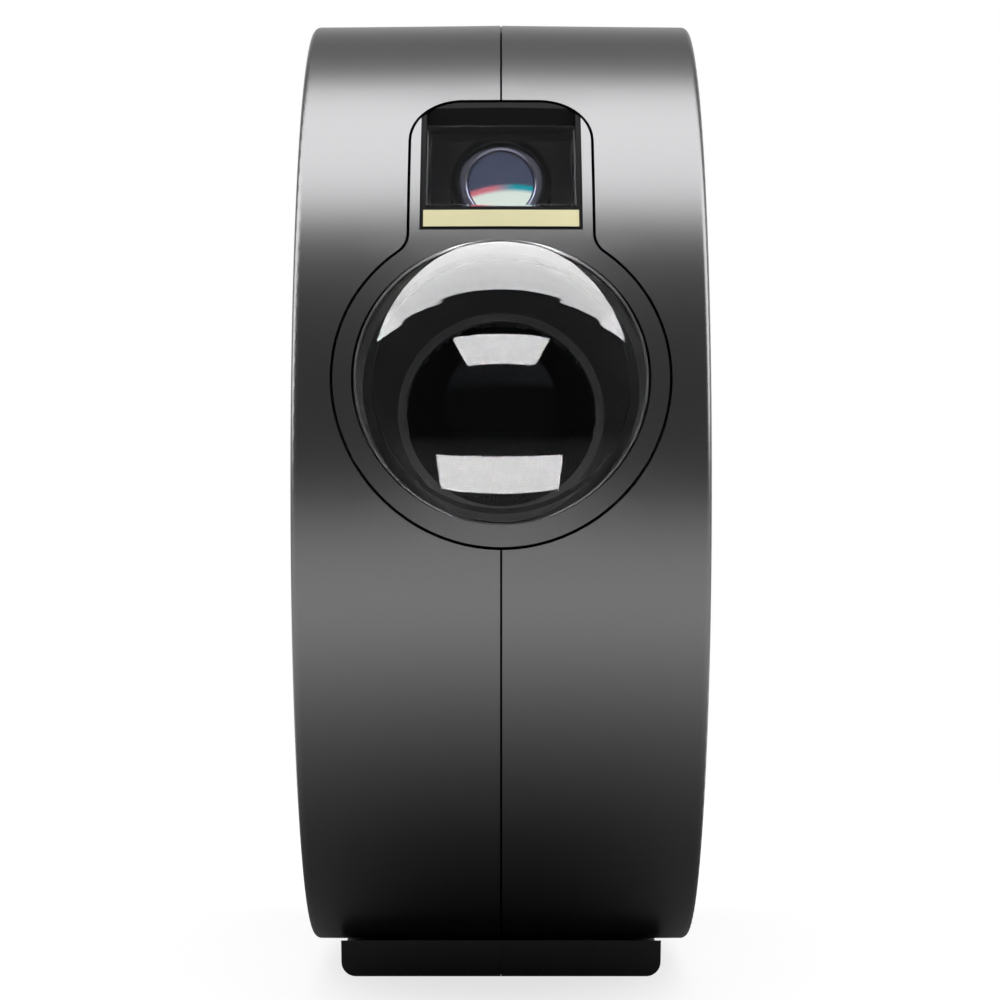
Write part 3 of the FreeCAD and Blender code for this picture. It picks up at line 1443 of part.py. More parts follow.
def build():
    make_stand("stand_left", -1)
    make_stand("stand_right", 1)
    make_guide()
    make_saddle_pads()
    make_sole()
    make_screws("stand_screws", stand_screw_places(), -STAND_SCREW_REACH,
                dim.stand_head_radius, dim.stand_head_height, dim.stand_screw_radius,
                STAND_SCREW_REACH * 2, plane="YZ_Plane", sign=-1)
    make_shell("shell_left", -1)
    make_shell("shell_right", 1)
    make_cover("side_cover_left", -1)
    make_cover("side_cover_right", 1)
    bosses = [
        lens_point(EAR_UP, EAR_OUT),
        lens_point(-EAR_UP, EAR_OUT),
        drum_point(BOSS_CIRCLE, dim.boss_back_angle),
        drum_point(BOSS_CIRCLE, dim.boss_low_angle),
    ]
    make_screws("shell_screws", bosses, dim.shell_screw_seat, dim.shell_head_radius,
                dim.shell_head_height, dim.shell_screw_radius,
                dim.shell_screw_seat + dim.shell_screw_reach, plane="YZ_Plane")
    make_bezel()
    make_window_frame()
    make_window_pane()
    make_label_strip()
    make_dome_lens()
    make_ring("dome_seal", dim.barrel_mouth, dim.dome_flange, SEAL_BOTTOM, dim.seal_top)
    make_barrel()
    make_inner_lens()
    make_ring("lens_retainer", LENS_SEAT - dim.retainer_width, LENS_SEAT, LENS_EDGE_TOP, CONE_FOOT)
    make_optics_frame()
    make_screws("frame_screws", post_places(), FRONT_PLATE_FRONT, dim.post_head_radius,
                dim.post_head_height, dim.post_screw_radius,
                dim.post_screw_length, angle=dim.lens_elevation)
    make_collimator()
    make_led_board()
    make_led_chips()
    make_led_sink()
    make_screws("heat_sink_screws", sink_screw_places(), REAR_PLATE_FRONT, dim.sink_head_radius,
                dim.sink_head_height, dim.sink_screw_radius, REAR_PLATE_FRONT - SINK_FACE,
                angle=dim.lens_elevation)
    make_gear("wheel_gear", WHEEL_TEETH, WHEEL_UP, RING_INNER, False)
    make_ring("nebula_disc", dim.hub_radius + dim.disc_fit, RING_INNER - dim.disc_fit, DISC_BACK,
              DISC_BACK + dim.disc_thickness, up=WHEEL_UP)
    make_hub()
    axle_back = REAR_PLATE_FRONT - dim.axle_seat
    axle_front = dim.front_plate_back + dim.axle_seat
    make_rod("wheel_axle", dim.axle_radius, axle_back, axle_front, WHEEL_UP)
    make_rod("idler_axle", dim.axle_radius, axle_back, axle_front, IDLER_UP)
    make_idler()
    make_gear("grating_gear", GRATING_TEETH, LASER_UP, dim.sleeve_outer + dim.running_fit, False)
    make_rod("grating_disc", dim.grating_radius, GEAR_FRONT, GEAR_FRONT + dim.grating_thickness,
             LASER_UP)
    make_motor()
    make_rod("motor_shaft", dim.motor_shaft_radius, dim.rear_plate_back - dim.shaft_socket,
             GEAR_FRONT + dim.hub_end_play, MOTOR_UP)
    make_gear("motor_pinion", PINION_TEETH, MOTOR_UP, dim.motor_shaft_radius, True)
    make_screws("motor_screws", [(x, MOTOR_UP) for x in motor_screw_places()], REAR_PLATE_FRONT,
                dim.motor_head_radius, dim.motor_head_height, dim.motor_screw_radius,
                dim.rear_plate_thickness + dim.motor_screw_bite, angle=dim.lens_elevation)
    make_laser_tube()
    tube_floor = dim.laser_tube_front - dim.laser_iris_depth
    make_rod("laser_lens", dim.laser_lens_radius, tube_floor,
             tube_floor + dim.laser_lens_thickness, LASER_UP)
    make_laser()
    make_laser_sink()
    make_rear_panel()
    make_control_board()
    make_switches()
    make_screws("board_screws", board_places(), dim.board_top - dim.board_thickness,
                dim.board_head_radius, dim.board_head_height, dim.board_screw_radius,
                dim.board_thickness + dim.board_screw_bite - dim.screw_fit,
                angle=dim.button_angle, sign=-1)
    for index in range(BUTTONS):
        make_button(index)
    make_jack()


build()
doc.recompute()
for item in doc.Objects:
    if "Invalid" in item.State or "Error" in item.State:
        raise RuntimeError("%s is in error" % item.Label)
for item in PARTS:
    if item.Shape.isNull() or not item.Shape.isValid():
        raise RuntimeError("%s has no valid shape" % item.Label)
for item in PARTS:
    item.Shape.exportStep("parts/%s.step" % item.Label)
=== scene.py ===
import math

import bmesh
import bpy
import numpy as np
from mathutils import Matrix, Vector


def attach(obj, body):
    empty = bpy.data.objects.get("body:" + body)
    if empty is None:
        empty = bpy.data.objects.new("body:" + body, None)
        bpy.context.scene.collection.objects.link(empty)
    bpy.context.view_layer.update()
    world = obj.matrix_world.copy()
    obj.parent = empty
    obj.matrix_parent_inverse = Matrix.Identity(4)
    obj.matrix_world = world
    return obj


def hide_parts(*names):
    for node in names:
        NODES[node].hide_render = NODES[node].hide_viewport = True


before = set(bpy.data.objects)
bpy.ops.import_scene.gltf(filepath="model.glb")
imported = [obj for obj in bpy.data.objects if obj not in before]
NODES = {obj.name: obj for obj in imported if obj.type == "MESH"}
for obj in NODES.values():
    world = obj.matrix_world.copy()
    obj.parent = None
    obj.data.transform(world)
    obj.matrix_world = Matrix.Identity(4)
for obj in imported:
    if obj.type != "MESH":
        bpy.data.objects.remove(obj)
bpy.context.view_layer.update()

bl_info = {
    "name": "Planetarium projector",
    "version": (1, 0, 0),
    "blender": (4, 5, 0),
    "location": "3D View > Sidebar > Projector",
    "description": "Dresses a drum-shaped tabletop planetarium projector and lights it in a studio",
    "category": "Object",
}

# Places along the lens axis, out from the drum's axis in metres
DOME_MIDDLE = 0.04133
LENS_PARTING = 0.0514

# Depth of the dome's glossy skin, half sizes of the pane, and how wide a mask's edge fades, in metres
DOME_SKIN = 0.001
PANE_HALF_WIDTH = 0.01122
PANE_HALF_HEIGHT = 0.00946
FADE = 0.0001

# Dark seam in the shells' paint: half width in metres, the share of it that is fully dark, its colour
SEAM_HALF = 0.000181
SEAM_CORE = 0.7757
SEAM_TONE = (0.004, 0.004, 0.004)

# Edge between the painted reflection on the laser lens's pale lower half and its blue grey upper part: bend
# per metre, and rise to the right
FILM_BEND = 30.0
FILM_RISE = 0.1

# Gap that keeps a trim out of the faces it lies on, and how close points are merged, in metres
HAIR_GAP = 0.000005
MERGE_GAP = 0.0000005

# The studio, in metres: half its width, its wall's place and height
ROOM_HALF = 3.0
WALL_BACK = 1.4
WALL_TOP = 2.2

# The camera: how far it stands beside the seam's plane in metres, sensor in mm, picture in pixels
CAMERA_ACROSS = -0.00017
SENSOR_WIDTH = 36.0
PICTURE_WIDTH = 1000.0

# Softboxes that light everything but the dome: name, place, size and aim; one radiance for all
BOX_AIM = (0.0, -0.08, 0.1)
SOFTBOXES = (
    ("softbox_top", (0.0, -0.045, 0.735), (1.14, 0.53), None),
    ("softbox_left", (-0.78, -0.13, 0.5), (0.62, 0.72), BOX_AIM),
    ("softbox_right", (0.78, -0.13, 0.5), (0.62, 0.72), BOX_AIM),
)
SOFTBOX_RADIANCE = 4.0

# Level panels that only the dome mirrors: name, left and right edge, front edge, radiance
DOME_PANELS = (
    ("middle", -0.3, 0.3, -0.365, 44.0),
    ("left", -0.6, -0.3, -0.4, 44.0),
    ("far_left", -1.75, -0.6, -0.44, 56.0),
    ("right", 0.3, 0.6, -0.4, 44.0),
    ("far_right", 0.6, 1.28, -0.44, 56.0),
)
PANEL_HEIGHT = 0.735
PANEL_BACK = 0.1


# Sizes and colours

def length(name, default, text):
    return bpy.props.FloatProperty(name=name, description=text, default=default, min=0.0, unit="LENGTH")


def colour(name, default, text):
    return bpy.props.FloatVectorProperty(
        name=name, description=text, default=default, size=3, min=0.0, max=1.0, subtype="COLOR"
    )


class ProjectorSizes(bpy.types.PropertyGroup):
    drum_radius: length("Drum radius", 0.078, "Radius of the drum at its middle")
    drum_height: length("Axis height", 0.082, "Height of the drum's axis above the table")
    drum_draft: length("Draft", 0.0003, "How much the drum's radius falls from its middle to its rim")
    drum_half: length("Half width", 0.0303, "Distance from the seam to where the rim is rounded")
    hole_radius: length("Lens hole", 0.022, "Radius of the hole in the keyhole panel")
    dome_curve: length("Dome curve", 0.04, "Radius of the dome's outer face")
    dome_radius: length("Dome radius", 0.0216, "Radius of the dome's edge")
    dome_wall: length("Dome wall", 0.0024, "Thickness of the dome")
    dome_flange: length("Dome flange", 0.024, "Radius of the flange that holds the dome")
    flange_front: length("Flange front", 0.0715, "From the drum's axis out to the front of the flange")
    flange_back: length("Flange back", 0.0701, "From the drum's axis out to the back of the flange")
    laser_up: length("Laser lens height", 0.03634, "From the lens axis up to the laser lens")
    laser_out: length("Laser tube front", 0.056, "From the drum's centre out to the front of the laser tube")
    ring_middle: length("Laser ring", 0.0061, "Mean radius of the polished ring round the laser lens")
    ring_half: length("Laser ring half width", 0.00105, "Half the width of that ring")
    ring_rise: length("Laser ring height", 0.0008, "How far that ring stands out")
    rim_width: length("Rim width", 0.00032, "Width of the turned rim round the lens hole")
    rim_depth: length("Rim depth", 0.0016, "Depth of the turned rim round the lens hole")
    lens_elevation: bpy.props.FloatProperty(
        name="Lens elevation", description="Angle of the lens axis above the horizon",
        default=math.radians(11.8), subtype="ANGLE",
    )
    pane_elevation: bpy.props.FloatProperty(
        name="Pane elevation", description="Angle of the pane's normal above the horizon",
        default=math.radians(45.8), subtype="ANGLE",
    )
    pane_middle: bpy.props.FloatProperty(
        name="Pane middle", description="Middle of the pane, from its normal through the drum's centre",
        default=-0.00759, unit="LENGTH",
    )
    camera_distance: length("Camera distance", 0.564, "From the drum's axis to the camera")
    focal_pixels: bpy.props.FloatProperty(
        name="Focal length in pixels", description="Focal length in pixels of a 1000 pixel wide picture",
        default=3272.4, min=1.0,
    )
    camera_drop: bpy.props.FloatProperty(
        name="Camera tilt", description="How far the camera looks down",
        default=math.radians(0.297), subtype="ANGLE",
    )


class ProjectorColours(bpy.types.PropertyGroup):
    paint: colour("Drum paint", (0.175, 0.175, 0.178), "Metallic grey paint of the drum")
    black: colour("Moulded black", (0.0115, 0.0115, 0.012), "Satin black plastic")
    panel: colour("Matt black", (0.02, 0.02, 0.021), "Matt black plastic of covers and panel")
    key: colour("Keys", (0.09, 0.09, 0.095), "Dark grey push keys")
    label: colour("Label", (0.557, 0.515, 0.294), "Bare pale yellow film under the window")
    felt: colour("Felt", (0.03, 0.03, 0.03), "Felt strips on the saddle")
    rubber: colour("Rubber", (0.03, 0.03, 0.03), "Sole and seal")
    steel: colour("Steel", (0.55, 0.55, 0.56), "Screws, pins and motor")
    aluminium: colour("Aluminium", (0.72, 0.73, 0.74), "Heat sinks")
    brass: colour("Brass", (0.78, 0.6, 0.3), "Laser module")
    gears: colour("Gears", (0.8, 0.8, 0.78), "Natural white moulded gears")
    board: colour("Circuit board", (0.03, 0.2, 0.08), "Green solder mask")
    chips: colour("Lamp chips", (0.85, 0.8, 0.35), "Yellow lamp chips")
    # The laser lens's pale lower part and its pink and teal edge are painted reflection, laid into the base
    # colour.
    laser_low_painted_reflection: colour("Laser lens, lower part", (0.72, 0.8, 0.7), "Pale green sheen of the laser lens")
    laser_high: colour("Laser lens, upper part", (0.05, 0.06, 0.1), "Blue grey sheen of the laser lens")
    laser_left_painted_reflection: colour("Laser lens, left edge", (0.6, 0.16, 0.2), "Pink edge between both sheens")
    laser_right_painted_reflection: colour("Laser lens, right edge", (0.0, 0.3, 0.36), "Teal edge between both sheens")
    ring: colour("Laser ring", (0.42, 0.42, 0.52), "Polished violet grey ring round the laser lens")
    floor: colour("Floor", (0.66, 0.66, 0.66), "Pale studio floor")
    # Painted shadow: the floor's colour round the part, seen in reflections
    floor_painted_shadow: colour("Floor near the part", (0.12, 0.12, 0.12), "Shaded studio floor under the part")


def sizes():
    return bpy.context.scene.projector_sizes


def colours():
    return bpy.context.scene.projector_colours


# Materials

class Value:
    """A number that varies over a surface, with the sums that the patterns use."""

    def __init__(self, shade, socket):
        self.shade = shade
        self.socket = socket

    def __add__(self, other):
        return self.shade.sum("ADD", self, other)

    def __sub__(self, other):
        return self.shade.sum("SUBTRACT", self, other)

    def __rsub__(self, other):
        return self.shade.sum("SUBTRACT", other, self)

    def __mul__(self, other):
        return self.shade.sum("MULTIPLY", self, other)

    def maximum(self, other):
        return self.shade.sum("MAXIMUM", self, other)

    def root(self):
        return self.shade.sum("SQRT", self, 0.0)

    def size(self):
        return self.shade.sum("ABSOLUTE", self, 0.0)

    def ramp(self, low, high):
        """0 up to low and 1 from high on, smooth between; falls where low is above high."""
        return self.shade.add("ShaderNodeMapRange", {"interpolation_type": "SMOOTHSTEP"},
                              {"Value": self, "From Min": low, "From Max": high})

    __radd__ = __add__
    __rmul__ = __mul__


class Shade:
    """One material or world under construction."""

    def __init__(self, owner):
        owner.use_nodes = True
        self.owner = owner
        self.tree = owner.node_tree
        self.tree.nodes.clear()

    def add(self, kind, settings=None, values=None, out=0):
        """A node of a type, its settings set first, then the values or links of its sockets."""
        node = self.tree.nodes.new(kind)
        for key, setting in (settings or {}).items():
            setattr(node, key, setting)
        for key, value in (values or {}).items():
            socket = node.inputs[key]
            if isinstance(value, Value):
                self.tree.links.new(value.socket, socket)
            else:
                socket.default_value = value
        return Value(self, node.outputs[out]) if len(node.outputs) else node

    def sum(self, operation, first, second):
        return self.add("ShaderNodeMath", {"operation": operation}, {0: first, 1: second})

    def place(self, scale=(1.0, 1.0, 1.0), rotation=(0.0, 0.0, 0.0)):
        at = self.add("ShaderNodeTexCoord", out="Object")
        return self.add("ShaderNodeMapping", None, {"Vector": at, "Scale": scale, "Rotation": rotation})

    def noise(self, scale, detail=2.0, at=None):
        where = at or self.place()
        return self.add("ShaderNodeTexNoise", None,
                        {"Vector": where, "Scale": scale, "Detail": detail, "Roughness": 0.6})

    def blend(self, factor, first, second):
        ends = [end if isinstance(end, Value) else (*end, 1.0) for end in (first, second)]
        return self.add("ShaderNodeMix", {"data_type": "RGBA"},
                        {"Factor": factor, 6: ends[0], 7: ends[1]}, out=2)

    def lens_axes(self, elevation=None):
        """Across, up and outwards from the drum's centre, along an axis that rises by elevation."""
        angle = sizes().lens_elevation if elevation is None else elevation
        at = self.add("ShaderNodeTexCoord", out="Object")
        split = self.add("ShaderNodeSeparateXYZ", None, {"Vector": at}).socket.node
        across, back, high = (Value(self, socket) for socket in split.outputs)
        level = high - sizes().drum_height
        up = back * math.sin(angle) + level * math.cos(angle)
        return across, up, level * math.sin(angle) - back * math.cos(angle)

    def bump(self, height, distance, strength=1.0):
        return self.add("ShaderNodeBump", None,
                        {"Height": height, "Distance": distance, "Strength": strength})

    def surface(self, shader):
        world = isinstance(self.owner, bpy.types.World)
        self.add("ShaderNodeOutputWorld" if world else "ShaderNodeOutputMaterial", None, {"Surface": shader})
        return self.owner


def new_shade(name):
    return Shade(bpy.data.materials.new(name))


def lighter(base, share):
    return tuple(min(1.0, part * (1.0 + share)) for part in base)


def metallic_paint(name, base, seam=0.0):
    """Satin metallic paint: fine flakes in its colour and a slow drift in its gloss.

    With seam, a dark line of that half width runs round the drum's middle.
    """
    shade = new_shade(name)
    flake = shade.noise(4200.0, 1.0)
    drift = shade.noise(35.0, 3.0)
    tone = shade.blend(flake, lighter(base, -0.05), lighter(base, 0.05))
    if seam:
        across = shade.lens_axes()[0]
        tone = shade.blend(across.size().ramp(seam * SEAM_CORE, seam), SEAM_TONE, tone)
    gloss = 0.275 + drift * 0.03 + flake * 0.03
    return shade.surface(shade.add("ShaderNodeBsdfPrincipled", None, {
        "Base Color": tone, "Metallic": 1.0, "Roughness": gloss,
        "Normal": shade.bump(flake, 0.000004, 0.25),
    }))


def moulded(name, base, low, high, grain=0.00002, scale=2600.0):
    """Moulded plastic: spark-eroded grain with a slow change of gloss and tone."""
    shade = new_shade(name)
    fine = shade.noise(scale, 3.0)
    slow = shade.noise(60.0, 2.0)
    tone = shade.blend(slow, lighter(base, -0.12), lighter(base, 0.12))
    gloss = low + (high - low) * (0.5 * fine + 0.5 * slow)
    return shade.surface(shade.add("ShaderNodeBsdfPrincipled", None, {
        "Base Color": tone, "Roughness": gloss, "Normal": shade.bump(fine, grain, 0.5),
    }))


def brushed(name, base, rough, along=(1.0, 30.0, 30.0)):
    """Bare metal with hairlines drawn out along one direction."""
    shade = new_shade(name)
    lines = shade.noise(260.0, 4.0, shade.place(along))
    tone = shade.blend(lines, lighter(base, -0.14), lighter(base, 0.1))
    return shade.surface(shade.add("ShaderNodeBsdfPrincipled", None, {
        "Base Color": tone, "Metallic": 1.0, "Roughness": rough - 0.06 + lines * 0.14,
        "Normal": shade.bump(lines, 0.00001, 0.35),
    }))


def felted(name, base):
    """Pressed felt: short matted fibres over soft lumps."""
    shade = new_shade(name)
    fibre = shade.noise(5200.0, 5.0, shade.place((1.0, 0.35, 1.0)))
    lump = shade.noise(900.0, 3.0)
    tone = shade.blend(fibre, lighter(base, -0.5), lighter(base, 0.9))
    return shade.surface(shade.add("ShaderNodeBsdfPrincipled", None, {
        "Base Color": tone, "Roughness": 0.96, "Sheen Weight": 0.4,
        "Normal": shade.bump(0.7 * fibre + 0.3 * lump, 0.00012, 0.9),
    }))


def clear(name, tint, index):
    """Polished clear material, with a trace of haze from handling."""
    shade = new_shade(name)
    haze = shade.noise(140.0, 4.0)
    return shade.surface(shade.add("ShaderNodeBsdfPrincipled", None, {
        "Base Color": (*tint, 1.0), "Roughness": haze * 0.012, "Transmission Weight": 1.0, "IOR": index,
    }))


def dome_finish(name):
    """Clear polished dome with a hard gloss on its outer face and the faintest haze from wiping."""
    shade = new_shade(name)
    haze = shade.noise(90.0, 3.0)
    across, up, out = shade.lens_axes()
    from_middle = (across * across + up * up + (out - DOME_MIDDLE) * (out - DOME_MIDDLE)).root()
    skin = sizes().dome_curve - DOME_SKIN
    outside = from_middle.ramp(skin, skin + FADE)
    return shade.surface(shade.add("ShaderNodeBsdfPrincipled", None, {
        "Base Color": (1.0, 1.0, 1.0, 1.0), "Roughness": haze * 0.004, "Transmission Weight": 1.0,
        "IOR": 1.1, "Coat Weight": outside, "Coat IOR": 1.2, "Coat Roughness": 0.01,
    }))


def lens_finish(name):
    """Projection lens before its dark chamber: glossy in front; behind, a faint mirror whose near-black
    colour is painted shade for that chamber.
    """
    shade = new_shade(name)
    out = shade.lens_axes()[2]
    haze = shade.noise(120.0, 3.0)
    front = shade.add("ShaderNodeBsdfPrincipled", None, {
        "Base Color": (1.0, 1.0, 1.0, 1.0), "Roughness": haze * 0.004, "Transmission Weight": 1.0,
        "IOR": 1.08, "Coat Weight": 0.2, "Coat IOR": 1.25, "Coat Roughness": 0.01,
    })
    # Painted shade: the back face is an opaque near-black mirror in place of the unlit chamber behind it.
    back = shade.add("ShaderNodeBsdfPrincipled", None, {
        "Base Color": shade.blend(haze, (0.006, 0.0065, 0.008), (0.009, 0.01, 0.012)),
        "Metallic": 1.0, "Roughness": 0.01,
    })
    return shade.surface(shade.add("ShaderNodeMixShader", None,
                                   {0: out.ramp(LENS_PARTING, LENS_PARTING + FADE), 1: back, 2: front}))


def pane_finish(name):
    """Coated pane without a mirror image; its cut edges catch the light."""
    shade = new_shade(name)
    across, up, _ = shade.lens_axes(sizes().pane_elevation)
    sides = across.size().ramp(PANE_HALF_WIDTH, PANE_HALF_WIDTH + FADE)
    ends = (up - sizes().pane_middle).size().ramp(PANE_HALF_HEIGHT, PANE_HALF_HEIGHT + FADE)
    return shade.surface(shade.add("ShaderNodeBsdfPrincipled", None, {
        "Base Color": (0.95, 0.96, 1.0, 1.0), "Roughness": 0.0, "Transmission Weight": 1.0, "IOR": 1.05,
        "Coat Weight": sides.maximum(ends), "Coat IOR": 1.2, "Coat Roughness": 0.2,
    }))


def laser_finish(name):
    """Laser lens with its diffracting film: blue grey above; the pale lower half and the coloured edge
    between are painted reflection in its base colour.
    """
    tone = colours()
    shade = new_shade(name)
    across, up, _ = shade.lens_axes()
    level = up - sizes().laser_up
    bend = level + across * across * FILM_BEND - across * FILM_RISE
    # Painted reflection: pale below, a pink to teal edge, then blue grey above, drawn in object coordinates.
    right = across.ramp(-0.002, 0.0025)
    painted_reflection_edge = shade.blend(right, tone.laser_left_painted_reflection, tone.laser_right_painted_reflection)
    low = shade.blend(bend.ramp(-0.0012, -0.0003), tone.laser_low_painted_reflection, painted_reflection_edge)
    film = shade.blend(bend.ramp(-0.0002, 0.0006), low, tone.laser_high)
    return shade.surface(shade.add("ShaderNodeBsdfPrincipled", None, {
        "Base Color": film, "Roughness": 0.18, "Specular IOR Level": 0.5,
    }))


def matt_black(name, base, rough):
    """Light-trapping black: barely any sheen over a fine grain."""
    shade = new_shade(name)
    fine = shade.noise(3000.0, 3.0)
    return shade.surface(shade.add("ShaderNodeBsdfPrincipled", None, {
        "Base Color": shade.blend(fine, lighter(base, -0.2), lighter(base, 0.2)),
        "Roughness": rough + fine * 0.1, "Specular IOR Level": 0.06, "Normal": shade.bump(fine, 0.00001, 0.4),
    }))


def board_finish(name, base):
    """Solder mask over a faint rectangular weave of tracks."""
    shade = new_shade(name)
    tracks = shade.add("ShaderNodeTexBrick", {"offset": 0.5}, {
        "Vector": shade.place((1.0, 1.0, 1.0)), "Scale": 240.0, "Mortar Size": 0.06,
        "Color1": (0.0, 0.0, 0.0, 1.0), "Color2": (0.12, 0.12, 0.12, 1.0), "Mortar": (1.0, 1.0, 1.0, 1.0),
    }, out="Fac")
    tone = shade.blend(tracks, base, lighter(base, 0.9))
    return shade.surface(shade.add("ShaderNodeBsdfPrincipled", None, {
        "Base Color": tone, "Roughness": 0.34, "Normal": shade.bump(tracks, 0.00004, 0.6),
    }))


def dress(material, *names):
    """Gives solids their finish; their shapes stay as they are."""
    for name in names:
        slots = NODES[name].data.materials
        slots.clear()
        slots.append(material)


# Shapes

def sheet_mesh(name, grid, wrap_rows=False, wrap_columns=False):
    """A mesh from a grid of points: each cell between two rows and two columns is one face."""
    rows, columns = grid.shape[:2]
    down = np.arange(rows if wrap_rows else rows - 1)
    over = np.arange(columns if wrap_columns else columns - 1)
    a, b = np.meshgrid(down, over, indexing="ij")
    a2, b2 = (a + 1) % rows, (b + 1) % columns
    faces = np.stack([a * columns + b, a2 * columns + b, a2 * columns + b2, a * columns + b2], -1)
    mesh = bpy.data.meshes.new(name)
    mesh.from_pydata(grid.reshape(-1, 3).tolist(), [], faces.reshape(-1, 4).tolist())
    mesh.update()
    return mesh


def piece(name, mesh, material, body):
    thing = bpy.data.objects.new(name, mesh)
    bpy.context.scene.collection.objects.link(thing)
    mesh.materials.append(material)
    for face in mesh.polygons:
        face.use_smooth = True
    mesh.set_sharp_from_angle(angle=math.radians(30))
    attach(thing, body)
    return thing


def from_lens(across, up, out):
    """A point given across, up and outwards along the lens axis from the drum's centre, in metres."""
    size = sizes()
    sine, cosine = math.sin(size.lens_elevation), math.cos(size.lens_elevation)
    return np.stack([across, up * sine - out * cosine, size.drum_height + up * cosine + out * sine], -1)


def rim_grid(steps=256):
    """A four-cornered section carried round the lens hole.

    At angle a round the lens axis and distance r from it, the drum's skin lies at
    sqrt(R(x)^2 - u^2) outwards, where x = r sin a, u = r cos a and R falls linearly with |x|
    by the draft. The section's corners are given as distance from the axis and depth under the skin.
    """
    size = sizes()
    outer = size.hole_radius - HAIR_GAP
    inner = outer - size.rim_width
    distance = np.array([outer, inner, inner, outer])[:, None]
    depth = np.array([2 * HAIR_GAP, size.rim_width * 1.2, size.rim_depth, size.rim_depth])[:, None]
    angle = np.linspace(0.0, 2.0 * math.pi, steps, endpoint=False)[None, :]
    across, up = distance * np.sin(angle), distance * np.cos(angle)
    skin = size.drum_radius - size.drum_draft * np.abs(across) / size.drum_half
    out = np.sqrt(skin**2 - up**2) - depth
    return from_lens(across, up, out)


def ring_grid(steps=192, points=24):
    """Half a torus round the laser lens.

    With t from 0 to pi across the section and a round the lens: distance from the laser's axis
    m + w cos t and height h sin t over the front of the laser tube.
    """
    size = sizes()
    t = np.linspace(0.0, math.pi, points)[:, None]
    a = np.linspace(0.0, 2.0 * math.pi, steps, endpoint=False)[None, :]
    away = size.ring_middle + size.ring_half * np.cos(t)
    out = size.laser_out + size.ring_rise * np.sin(t) + 0.0 * a
    return from_lens(away * np.sin(a), size.laser_up + away * np.cos(a), out)


def dome_mesh(name, arc=40, steps=192):
    """The domed cover: a profile carried round the lens axis, its poles merged.

    With angle a from the axis, the outer face is at distance R sin a and m + R cos a outwards, where R
    is the dome's curve and m its middle; the inner face is the same with R less the wall.
    """
    size = sizes()
    inner_curve = size.dome_curve - size.dome_wall
    inner = size.dome_radius - size.dome_wall
    a = np.linspace(0.0, math.asin(size.dome_radius / size.dome_curve), arc)
    b = np.linspace(math.asin(inner / inner_curve), 0.0, arc)
    flange = [(size.dome_radius, size.flange_front), (size.dome_flange, size.flange_front),
              (size.dome_flange, size.flange_back), (inner, size.flange_back)]
    away = np.concatenate([size.dome_curve * np.sin(a), [p[0] for p in flange], inner_curve * np.sin(b)])
    out = DOME_MIDDLE + np.concatenate([
        size.dome_curve * np.cos(a), [p[1] - DOME_MIDDLE for p in flange], inner_curve * np.cos(b)])
    turn = np.linspace(0.0, 2.0 * math.pi, steps, endpoint=False)[None, :]
    grid = from_lens(away[:, None] * np.sin(turn), away[:, None] * np.cos(turn), out[:, None] + 0.0 * turn)
    mesh = sheet_mesh(name, grid, wrap_columns=True)
    shape = bmesh.new()
    shape.from_mesh(mesh)
    bmesh.ops.remove_doubles(shape, verts=shape.verts, dist=MERGE_GAP)
    bmesh.ops.recalc_face_normals(shape, faces=shape.faces)
    shape.to_mesh(mesh)
    shape.free()
    return mesh


# Lamps

def light_group(name, things, state="INCLUDE"):
    """The collection of that name, with these objects added: what a lamp lights, or what shades it."""
    group = bpy.data.collections.get(name) or bpy.data.collections.new(name)
    for thing in things:
        group.objects.link(thing)
    for entry in group.collection_objects:
        entry.light_linking.link_state = state
    return group


# Operators

